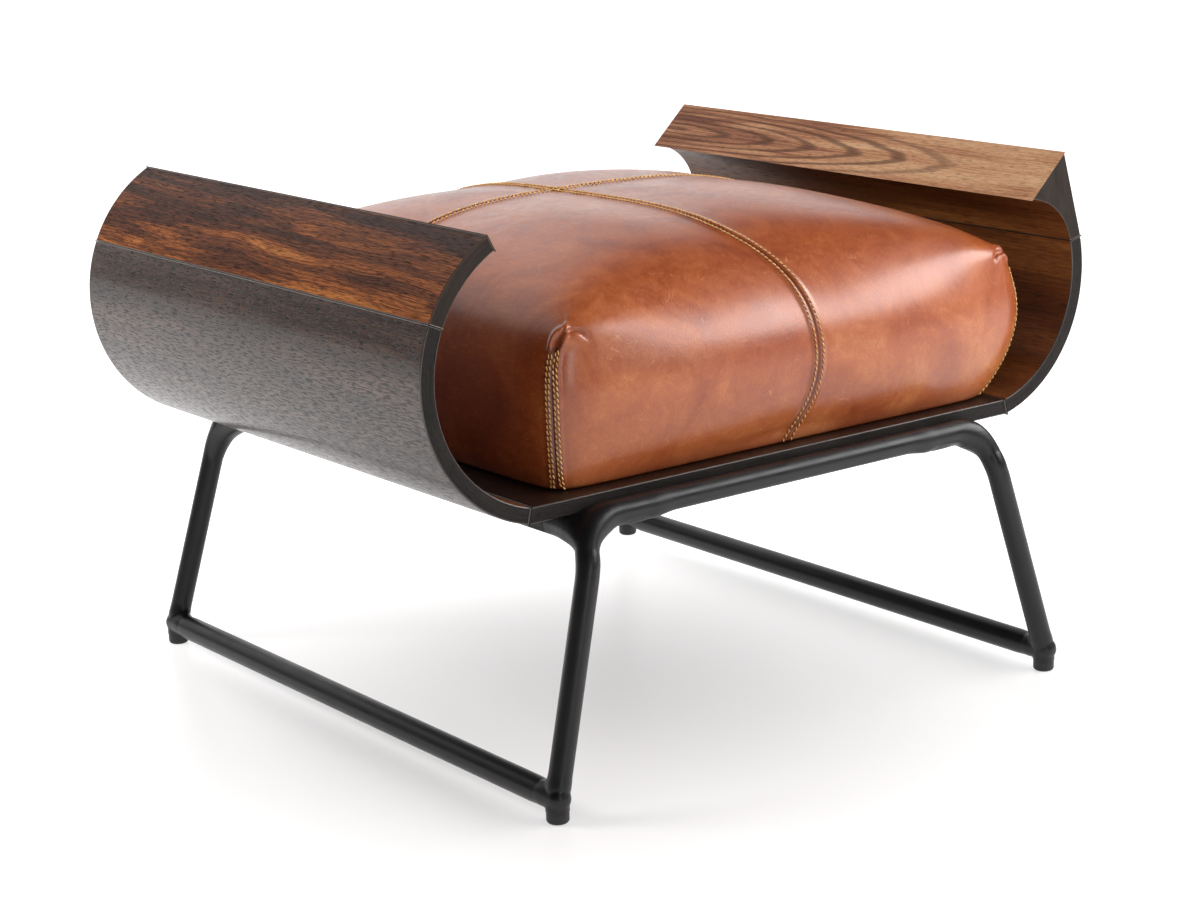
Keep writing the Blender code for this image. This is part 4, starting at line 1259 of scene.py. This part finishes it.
@dataclass
class Cushion:
    """The leather cushion: four sewn panels over foam, with crossed seams and a dart at each corner."""

    rings: int = 146
    top_rings: int = 102
    under_rings: int = 10
    ear_crowding: float = 3.5
    ear_zone: float = 0.015
    side_crowding: float = 0.75
    belly: float = 0.075
    crown_power: float = 3.3
    crown_samples: int = 4001
    square_power: float = 20.0
    round_power: float = 2.5
    square_reach: float = 0.955
    round_reach: float = 0.52
    plain_reach: float = 0.10
    bow: float = 0.022
    side_tuck: float = 0.023
    front_tuck: float = 0.026
    belly_lean: float = 0.0095
    bottom_lean: float = -0.006
    seam_cross: Pair = (-0.120, 0.135)
    seam_front: float = 0.0
    seam_back: float = -0.10
    seam_left: float = 0.09
    seam_right: float = 0.10
    under_round: float = 0.006
    puff: float = 0.0035
    puff_width: float = 0.055
    groove_depth: float = 0.0014
    groove_width: float = 0.0011
    flap_rise: float = 0.0010
    flap_width: float = 0.0072
    ear_height: float = 0.354
    ear_reach: float = 0.060
    ear_open: float = 0.006
    hem_hold: float = 0.012
    top_fade: float = 0.10
    lean_reach: float = 0.40
    base_gap: float = 0.0002
    stitch_offset: float = 0.0043
    dart_offsets: Pair = (0.0026, 0.0050)
    stitch_pitch: float = 0.0046
    stitch_length: float = 0.0037
    stitch_slant: float = 0.30
    thread_radius: float = 0.00072
    thread_span: int = 24
    thread_sides: int = 6
    thread_parts: tuple[float, ...] = (-1.0, -0.72, 0.0, 0.72, 1.0)
    thread_ends: float = 1.06
    thread_bow: float = 0.70
    thread_dive: float = 1.2
    dart_clear: float = 0.004
    # Strength and width of the painted shade in the seams' grooves and of the burnished darkening beside
    # them, then of the painted shade along the stitch rows and the bottom edge
    seam_shade: tuple[Pair, ...] = ((0.75, 0.0011), (0.16, 0.010))
    row_shade: Pair = (0.55, 0.0010)
    hem_shade: Pair = (0.55, 0.022)
    fill: float = 0.85

    def __post_init__(self) -> None:
        """Take the cushion's place and size from the cover panels of the frame."""
        corners = [f"cover_{side}_{end}" for side in SIDES for end in ENDS]
        boxes = np.array([[list(corner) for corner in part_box(node)] for node in corners])
        low, high = boxes[:, 0].min(axis=0), boxes[:, 1].max(axis=0)
        self.nodes = corners + ["foam_core"]
        self.centre = (low[0] + high[0]) / 2
        self.half_width = (high[0] - low[0]) / 2
        self.half_depth = (high[1] - low[1]) / 2
        self.bottom = low[2] - self.base_gap
        self.height = high[2] - low[2]

    def build(self) -> None:
        """Make and dress the cushion and its stitching."""
        points = self.form()
        normals = self.normals(points)
        fields = self.seam_fields(points)
        points = points + normals * self.relief(points, fields)[..., None]
        self.cover(points, fields)
        self.stitching(points)

    def spread(self) -> tuple[Array, Array, Array]:
        """Lay a square grid over the cushion, as rings about the middle of the top.

        A place along a ring is s less a share of sin(2 pi s), so columns crowd at the seams and
        corners. The rings are spaced evenly along the crown's length, and closer by the darts' ends.

        Returns:
            The places across and along, from -1 to 1, and the ring number of each point.
        """
        reach = self.rings + self.under_rings
        index = np.arange(-reach, reach + 1)
        column, row = np.meshgrid(index, index, indexing="ij")
        ring = np.maximum(np.abs(column), np.abs(row))
        level = np.sin(np.linspace(0.0, math.pi / 2, self.crown_samples))
        height = self.crown(level)
        nearness = bell((height[1:] - self.ear_height) / self.ear_zone)
        steps = np.hypot(np.diff(level) * self.half_depth, np.diff(height))
        steps = steps * (1 + self.ear_crowding * nearness)
        run = np.concatenate([[0.0], np.cumsum(steps)])
        share = np.interp(np.clip(ring / self.top_rings, 0.0, 1.0) * run[-1], run, level)
        places = []
        for line in (column, row):
            part = np.abs(line) / np.maximum(ring, 1)
            crowded = part - self.side_crowding * np.sin(2 * math.pi * part) / (2 * math.pi)
            places.append(np.sign(line) * crowded * share)
        across, along = places
        cross_x, cross_y = self.seam_cross
        lead = np.polyfit((-1.0, cross_y, 1.0), (self.seam_front, cross_x, self.seam_back), 2)
        drift = np.polyfit((-1.0, cross_x, 1.0), (self.seam_left, cross_y, self.seam_right), 2)
        moved = across + np.polyval(lead, along) * (1 - across ** 2)
        return moved, along + np.polyval(drift, across) * (1 - along ** 2), ring

    def crown(self, level: Array) -> Array:
        """Give the crown's height: the belly's, and a rise of sqrt(1 - m^p), m being the reach's share."""
        rise = np.sqrt(np.clip(1 - level ** self.crown_power, 0.0, 1.0))
        return self.bottom + self.belly + (self.height - self.belly) * rise

    def form(self) -> Array:
        """Give the cushion's plump form before its seams.

        Each level is a superellipse |X|^q + |Y|^q = 1: nearly square from the bottom up to the ends
        of the darts, and rounder towards the middle of the top. Near the middle the grid itself stays
        square, so that the seams run straight through their crossing. Below the belly the sides draw
        in by the square of the fall, then turn under on an arc. The front and the back bow out
        between their corners, and the belly leans to the right.

        Returns:
            The points by column and row.
        """
        across, along, ring = self.spread()
        fall = np.clip((ring - self.top_rings) / (self.rings - self.top_rings), 0.0, 1.0)
        under = np.clip((ring - self.rings) / self.under_rings, 0.0, 1.0)
        level = np.maximum(np.abs(across), np.abs(along))
        part = np.minimum(np.abs(across), np.abs(along)) / np.maximum(level, 1e-9)
        lift = eased((self.square_reach - level) / (self.square_reach - self.round_reach))
        power = 1 / (1 / self.square_power + lift * (1 / self.round_power - 1 / self.square_power))
        pinch = (1 + part ** power) ** (-1 / power)
        kept = 1 + (pinch - 1) * eased((level - self.plain_reach) / (self.round_reach - self.plain_reach))
        wide, deep = across * kept, along * kept
        level = level * kept / pinch
        drop = fall ** 2
        above = eased((1 - level) / self.top_fade)
        slant = math.atan(2 * self.side_tuck / self.belly)
        turn = slant + under * (math.pi / 2 - slant)
        turned_in = self.under_round * (math.cos(slant) - np.cos(turn))
        turned_down = self.under_round * (np.sin(turn) - math.sin(slant))
        last = self.under_round * (1 - math.sin(slant))
        belly = self.bottom + self.belly
        low = belly - (self.belly - last) * fall - turned_down
        z = np.where(ring <= self.top_rings, self.crown(level), low)
        lean = self.belly_lean * (1 - eased((1 - level) / self.lean_reach))
        lean = lean + (self.bottom_lean - self.belly_lean) * drop
        width = self.half_width - self.side_tuck * drop - turned_in
        depth = self.half_depth - self.front_tuck * drop - turned_in
        depth = depth - self.bow * np.abs(wide) ** 3 * (1 - drop) * (1 - above)
        return np.stack([self.centre + lean + wide * width, deep * depth, z], axis=-1)

    def normals(self, points: Array) -> Array:
        """Give the unit normals of a grid of points, from the differences along its lines.

        Args:
            points: the points by column and row.

        Returns:
            The normals.
        """
        return unit(np.cross(np.gradient(points, axis=0), np.gradient(points, axis=1)))

    def seam_fields(self, points: Array) -> dict[str, Array]:
        """Measure each point's distance over the surface to the seams.

        Args:
            points: the points by column and row.

        Returns:
            The distance to the crossed seams and to the corner darts, and how far each dart is open.
        """
        middle = self.rings + self.under_rings
        across, along = lengths(points, 0), lengths(points, 1)
        across = across - across[[middle]]
        along = along - along[:, [middle]]
        index = np.arange(-middle, middle + 1)
        column, row = np.meshgrid(index, index, indexing="ij")
        wide = np.abs(column) <= np.abs(row)
        corner_column = np.where(column < 0, -1, 1) * np.abs(row) + middle
        corner_row = np.where(row < 0, -1, 1) * np.abs(column) + middle
        to_corner = np.where(
            wide,
            np.abs(across - across[corner_column, row + middle]),
            np.abs(along - along[column + middle, corner_row]),
        )
        ring = np.maximum(np.abs(column), np.abs(row))
        edge = points[middle + np.arange(middle + 1), middle + np.arange(middle + 1), 2]
        sewn = np.clip((self.ear_height - edge[ring]) / self.ear_open, 0.0, 1.0)
        return {"front_back": np.abs(across), "left_right": np.abs(along), "dart": to_corner, "sewn": sewn}

    def relief(self, points: Array, fields: dict[str, Array]) -> Array:
        """Give what the seams, flaps and darts add to the form, along its normals.

        Panels puff away from a seam as 1 - exp(-(d / w)^2). A seam is a groove of the same bell
        form, between two flaps of leather folded under it.

        Args:
            points: the points by column and row.
            fields: the distances to the seams.

        Returns:
            The height to add at each point.
        """
        cross = np.minimum(fields["front_back"], fields["left_right"])
        dart = np.where(fields["sewn"] > 0, fields["dart"], 1.0)
        total = -self.puff * bell(cross / self.puff_width)
        for distance, strength in ((cross, 1.0), (dart, fields["sewn"])):
            groove = self.groove_depth * bell(distance / self.groove_width)
            flap = self.flap_rise * bell((distance / self.flap_width) ** 4)
            total = total + strength * (flap - groove)
        held = eased((points[..., 2] - self.bottom) / self.hem_hold)
        return (total + self.ears(points, fields)) * held

    def ears(self, points: Array, fields: dict[str, Array]) -> Array:
        """Give the puckered fold where each corner dart ends.

        Args:
            points: the points by column and row.
            fields: the distances to the seams.

        Returns:
            The height to add at each point.
        """
        fold = Fold()
        total = np.zeros(points.shape[:2])
        middle = self.rings + self.under_rings
        steps = np.arange(middle + 1)
        at = np.abs(points[middle + steps, middle + steps, 2] - self.ear_height).argmin()
        column, row = np.abs(np.meshgrid(*(np.arange(-middle, middle + 1),) * 2, indexing="ij"))
        beside = fields["dart"] * np.where(row >= column, 1.0, -1.0)
        for side, end in product(SIDES.values(), ENDS.values()):
            corner = points[middle + side * steps, middle + end * steps]
            rise = lengths(corner)
            up = (rise[at] - rise)[np.maximum(column, row)]
            held = np.linalg.norm(points - corner[at], axis=-1) < self.ear_reach
            total += held * fold.height(beside, up)
        return total

    def cover(self, points: Array, fields: dict[str, Array]) -> None:
        """Make the cushion's mesh, closed underneath, with seam and hem fields of burnished darkening and
        painted shade.

        Args:
            points: the points by column and row.
            fields: the distances to the seams.
        """
        skin = Skin()
        ids = skin.place(points)
        skin.patch(ids)
        rim = np.concatenate([ids[:-1, 0], ids[-1, :-1], ids[:0:-1, -1], ids[0, :0:-1]])
        skin.cap(rim[::-1])
        mesh = skin.mesh("leather_cushion", [HIDE.material()])
        cross = np.minimum(fields["front_back"], fields["left_right"])
        dart = np.where(fields["sewn"] > 0.5, fields["dart"], 1.0)
        line = np.minimum(cross, dart)
        rows = np.abs(cross - self.stitch_offset)
        for offset in self.dart_offsets:
            rows = np.minimum(rows, np.abs(dart - offset))
        # Painted shade in the grooves and along the stitch rows, with burnished darkening beside the seams
        seam = sum(shade * bell(line / width) for shade, width in self.seam_shade)
        shade, width = self.row_shade
        seam = seam + shade * bell(rows / width)
        # Painted shade along the bottom edge, where the cover turns under
        shade, width = self.hem_shade
        hem = shade * np.clip(1 - (points[..., 2] - self.bottom) / width, 0.0, 1.0) ** 2
        for name, values in ((SEAM_FIELD, seam), (HEM_FIELD, hem)):
            layer = mesh.attributes.new(name, "FLOAT", "POINT")
            layer.data.foreach_set("value", np.clip(values, 0.0, 1.0).astype(np.float32).ravel())
        piece = dress(mesh, "leather_cushion", self.nodes)

    def stitching(self, points: Array) -> None:
        """Sew two rows of thread beside each crossed seam and corner dart.

        Args:
            points: the points of the finished cover by column and row.
        """
        normals = self.normals(points)
        thread = THREAD.material()
        middle = self.rings + self.under_rings
        outwards = np.arange(self.thread_span)
        cross, darts = Skin(), Skin()
        views = [(points, normals), (points.swapaxes(0, 1), normals.swapaxes(0, 1))]
        inside = slice(self.under_rings // 2, 2 * middle + 1 - self.under_rings // 2)
        for way, (grid, flat) in product((1, -1), views):
            reach = middle + way * outwards
            self.sew(cross, grid[reach][:, inside], flat[reach][:, inside], self.stitch_offset)
        ring = np.arange(self.top_rings // 2, self.rings + self.under_rings // 2)
        for side, end in product(SIDES.values(), ENDS.values()):
            for (grid, flat), (first, second) in zip(views, ((side, end), (end, side))):
                columns = middle + first * (ring[None] - outwards[:, None])
                rows = np.broadcast_to(middle + second * ring[None], columns.shape)
                low = grid[columns[0], rows[0], 2] < self.ear_height - self.dart_clear
                for offset in self.dart_offsets:
                    self.sew(darts, grid[columns, rows][:, low], flat[columns, rows][:, low], offset)
        for skin, name in ((cross, "cross_stitching"), (darts, "corner_stitching")):
            dress(skin.mesh(name, [thread]), name)

    def sew(self, skin: Skin, grid: Array, normals: Array, offset: float) -> None:
        """Lay stitches along the line at one distance from a seam.

        The line is read off each cross row of the grid at that distance. Each stitch is a short
        thread of round section, thinnest at its ends, that bows out of the leather and dives in.

        Args:
            skin: the mesh in the making.
            grid: the cover's points, from the seam outwards and along it.
            normals: the cover's normals at those points.
            offset: the distance from the seam.
        """
        run = lengths(grid)
        before = np.clip((run < offset).sum(axis=0) - 1, 0, len(grid) - 2)
        rows = np.arange(grid.shape[1])
        gap = np.maximum(run[before + 1, rows] - run[before, rows], 1e-9)
        share = np.clip((offset - run[before, rows]) / gap, 0.0, 1.0)[:, None]
        line = grid[before, rows] * (1 - share) + grid[before + 1, rows] * share
        lift = normals[before, rows]
        reach = lengths(line)
        count = int(reach[-1] / self.stitch_pitch)
        if count < 1:
            return
        centres = (np.arange(count) + 0.5) * self.stitch_pitch

        def at(places: Array, values: Array) -> Array:
            """Read values at places along the line."""
            return np.stack([np.interp(places, reach, values[:, axis]) for axis in range(3)], axis=-1)

        middle = at(centres, line)
        half = self.stitch_length / 2
        along = unit(at(centres + half, line) - at(centres - half, line))
        out = unit(at(centres, lift))
        across = np.cross(out, along)
        along = along + self.stitch_slant * across
        part = np.array(self.thread_parts)
        turn = np.linspace(0.0, 2 * math.pi, self.thread_sides, endpoint=False)
        thick = self.thread_radius * np.sqrt(self.thread_ends - part ** 2)
        height = self.thread_radius * (self.thread_bow - self.thread_dive * part ** 4)
        ring = (
            middle[:, None, None]
            + along[:, None, None] * (part * half)[None, :, None, None]
            + across[:, None, None] * (thick[:, None] * np.cos(turn))[None, ..., None]
            + out[:, None, None] * (height[:, None] + thick[:, None] * np.sin(turn))[None, ..., None]
        )
        ids = skin.place(ring)
        closed = np.concatenate([ids, ids[:, :, :1]], axis=2)
        faces = np.stack(
            [closed[:, :-1, :-1], closed[:, :-1, 1:], closed[:, 1:, 1:], closed[:, 1:, :-1]], axis=-1
        ).reshape(-1, 4)
        skin.faces += faces.tolist() + ids[:, 0].tolist() + ids[:, -1, ::-1].tolist()
        skin.maps.append(np.zeros((faces.size + 2 * ids[:, 0].size, 2)))
        skin.slots += [0] * (len(faces) + 2 * len(ids))


@dataclass
class Hardware:
    """The small pieces under the board, which stay as the frame has them, with a finish each."""

    def build(self, nodes: dict[str, bpy.types.Object]) -> None:
        """Give the tabs, screws, bolts, inserts, tongues and base panel their finishes.

        Args:
            nodes: the frame's nodes by name.
        """
        starts = {
            "rail_tab": BLACK_STEEL, "tab_screw": ZINC, "cushion_bolt": ZINC, "cushion_insert": BRASS,
            "board_tongue": BEECH, "cap_tongue": BEECH, "cushion_base": BEECH,
        }
        for start, finish in starts.items():
            material = finish.material()
            for name in sorted(nodes):
                if name.startswith(start):
                    nodes[name].data.materials.clear()
                    nodes[name].data.materials.append(material)
                    LOG.info("%s: %s", name, finish.name)


@dataclass(frozen=True)
class SoftBox:
    """A lamp with a soft oval face, given by its place, the point that it faces, its size and its watts."""

    name: str
    place: Triple
    aim: Triple
    size: Pair
    power: float
    lit: Lit = Lit.BOTH

    def hang(self) -> None:
        """Put the lamp in the scene."""
        light = bpy.data.lights.new(self.name, "AREA")
        light.shape = "ELLIPSE"
        light.size, light.size_y = self.size
        light.energy = self.power
        lamp = bpy.data.objects.new(self.name, light)
        lamp.location = self.place
        lamp.rotation_euler = (Vector(self.aim) - Vector(self.place)).to_track_quat("-Z", "Y").to_euler()
        lamp.visible_camera = False
        lamp.visible_diffuse, lamp.visible_glossy = self.lit.value
        bpy.context.scene.collection.objects.link(lamp)


@dataclass
class Studio:
    """The floor, the light and the camera."""

    camera_place: Triple = (-1.41236, -1.87731, 0.78844)
    camera_turn: Triple = (75.7207, 1.6663, -37.5502)
    lens: float = 81.421
    sensor: float = 36.0
    floor_half: float = 9.0
    floor_colour: str = "#b6b2b1"
    floor_roughness: float = 0.35
    floor_specular: float = 0.3
    # Painted shadow: the floor's glow is least at a point under the object and full white further out
    painted_shadow_glow: float = 0.30
    painted_shadow_centre: Triple = (-0.10, -0.12, 0.0)
    painted_shadow_reach: float = 0.80
    white: str = "#ffffff"
    fill: Pair = (0.12, 0.44)
    dim: float = 0.05
    backdrops: tuple[Triple, ...] = ((0.10, 0.931, 0.351), (0.500, 0.866, 0.0))
    backdrop_edge: Pair = (0.78, 0.935)
    backdrop_level: float = 1.2
    lamps: tuple[SoftBox, ...] = (
        SoftBox("key_box", (1.32, -1.52, 1.12), (0.05, -0.20, 0.33), (2.9, 1.72), 60.0, Lit.MATT),
        SoftBox("key_shine", (1.59, -1.02, 1.27), (0.05, -0.20, 0.33), (2.8, 0.78), 39.0, Lit.SHINE),
        SoftBox("left_box", (-1.45, 0.85, 1.35), (0.0, 0.0, 0.35), (0.9, 0.9), 24.0, Lit.MATT),
        SoftBox("front_strip", (-0.75, -2.40, 0.75), (0.0, 0.0, 0.3), (0.35, 0.90), 5.0),
    )

    def build(self) -> None:
        """Set up the view, the floor, the world and the lamps."""
        scene = bpy.context.scene
        scene.view_settings.view_transform = "Standard"
        view = bpy.data.cameras.new("view")
        view.lens = self.lens
        view.sensor_width = self.sensor
        camera = bpy.data.objects.new("camera", view)
        camera.location = self.camera_place
        camera.rotation_euler = [math.radians(turn) for turn in self.camera_turn]
        scene.collection.objects.link(camera)
        scene.camera = camera
        self.floor()
        self.world()
        for lamp in self.lamps:
            lamp.hang()

    def floor(self) -> None:
        """Make a pale floor that takes the object's shadow and shows white to the eye, with a painted shadow
        of dimmer glow about a point under the object.
        """
        skin = Skin()
        line = np.linspace(-self.floor_half, self.floor_half, 3)
        x, y = np.meshgrid(line, line, indexing="ij")
        skin.patch(skin.place(np.stack([x, y, np.zeros_like(x)], axis=-1)))
        material, tree, shader = blank("studio_floor")
        place = add(tree, "TexCoord", {}, "Object")
        # Painted shadow: the glow grows from its least at a point under the object to full white further out
        away = add(tree, "VectorMath", {0: place, 1: self.painted_shadow_centre}, "Value", operation="DISTANCE")
        ramp = {0: away, 1: 0.0, 2: self.painted_shadow_reach, 3: self.painted_shadow_glow, 4: 1.0}
        glow_with_painted_shadow = add(tree, "MapRange", ramp, interpolation_type="SMOOTHSTEP")
        seen = self.seen(tree, *MIRROR_RAYS, "Is Camera Ray")
        feed(tree, shader, {
            "Base Color": linear(self.floor_colour),
            "Roughness": self.floor_roughness,
            "Specular IOR Level": self.floor_specular,
            "Emission Color": linear(self.white),
            "Emission Strength": add(tree, "Math", {0: glow_with_painted_shadow, 1: seen}, operation="MULTIPLY"),
        })
        floor = bpy.data.objects.new("floor", skin.mesh("floor", [material]))
        bpy.context.scene.collection.objects.link(floor)

    def seen(self, tree: Tree, *kinds: str) -> Socket:
        """Tell some kinds of ray from all others.

        Args:
            tree: the node tree.
            *kinds: the kinds of ray.

        Returns:
            A socket that is 1 for those rays and 0 for others.
        """
        found: Any = 0.0
        for kind in kinds:
            ray = add(tree, "LightPath", {}, kind)
            found = add(tree, "Math", {0: found, 1: ray}, operation="MAXIMUM")
        return found

    def world(self) -> None:
        """Make the world: white to the eye and at the back in reflections, with a soft fill from above."""
        world = bpy.data.worlds.new("studio")
        world.use_nodes = True
        bpy.context.scene.world = world
        tree = world.node_tree
        direction = add(tree, "TexCoord", {}, "Generated")
        edge, full = self.backdrop_edge
        level: Any = self.dim
        for way in self.backdrops:
            ahead = add(tree, "VectorMath", {0: direction, 1: way}, "Value", operation="DOT_PRODUCT")
            ramp = {0: ahead, 1: edge, 2: full, 3: self.dim, 4: self.backdrop_level}
            panel = add(tree, "MapRange", ramp, interpolation_type="SMOOTHSTEP")
            level = add(tree, "Math", {0: panel, 1: level}, operation="MAXIMUM")
        low, high = self.fill
        height = add(tree, "VectorMath", {0: direction, 1: (0.0, 0.0, 1.0)}, "Value", operation="DOT_PRODUCT")
        fill = add(tree, "MapRange", {0: height, 1: 0.0, 2: 1.0, 3: low, 4: high})
        mirrored = add(tree, "Mix", {0: self.seen(tree, *MIRROR_RAYS), 2: fill, 3: level})
        strength = add(tree, "Mix", {0: self.seen(tree, "Is Camera Ray"), 2: mirrored, 3: 1.0})
        feed(tree, tree.nodes["Background"], {"Color": linear(self.white), "Strength": strength})


def main() -> None:
    """Build the ottoman's pieces, then the studio."""
    logging.basicConfig(level=logging.INFO, format="%(message)s")
    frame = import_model()
    BentWork().build()
    TubeFrame().build()
    Cushion().build()
    Hardware().build(frame["nodes"])
    Studio().build()


if __name__ == "__main__":
    main()
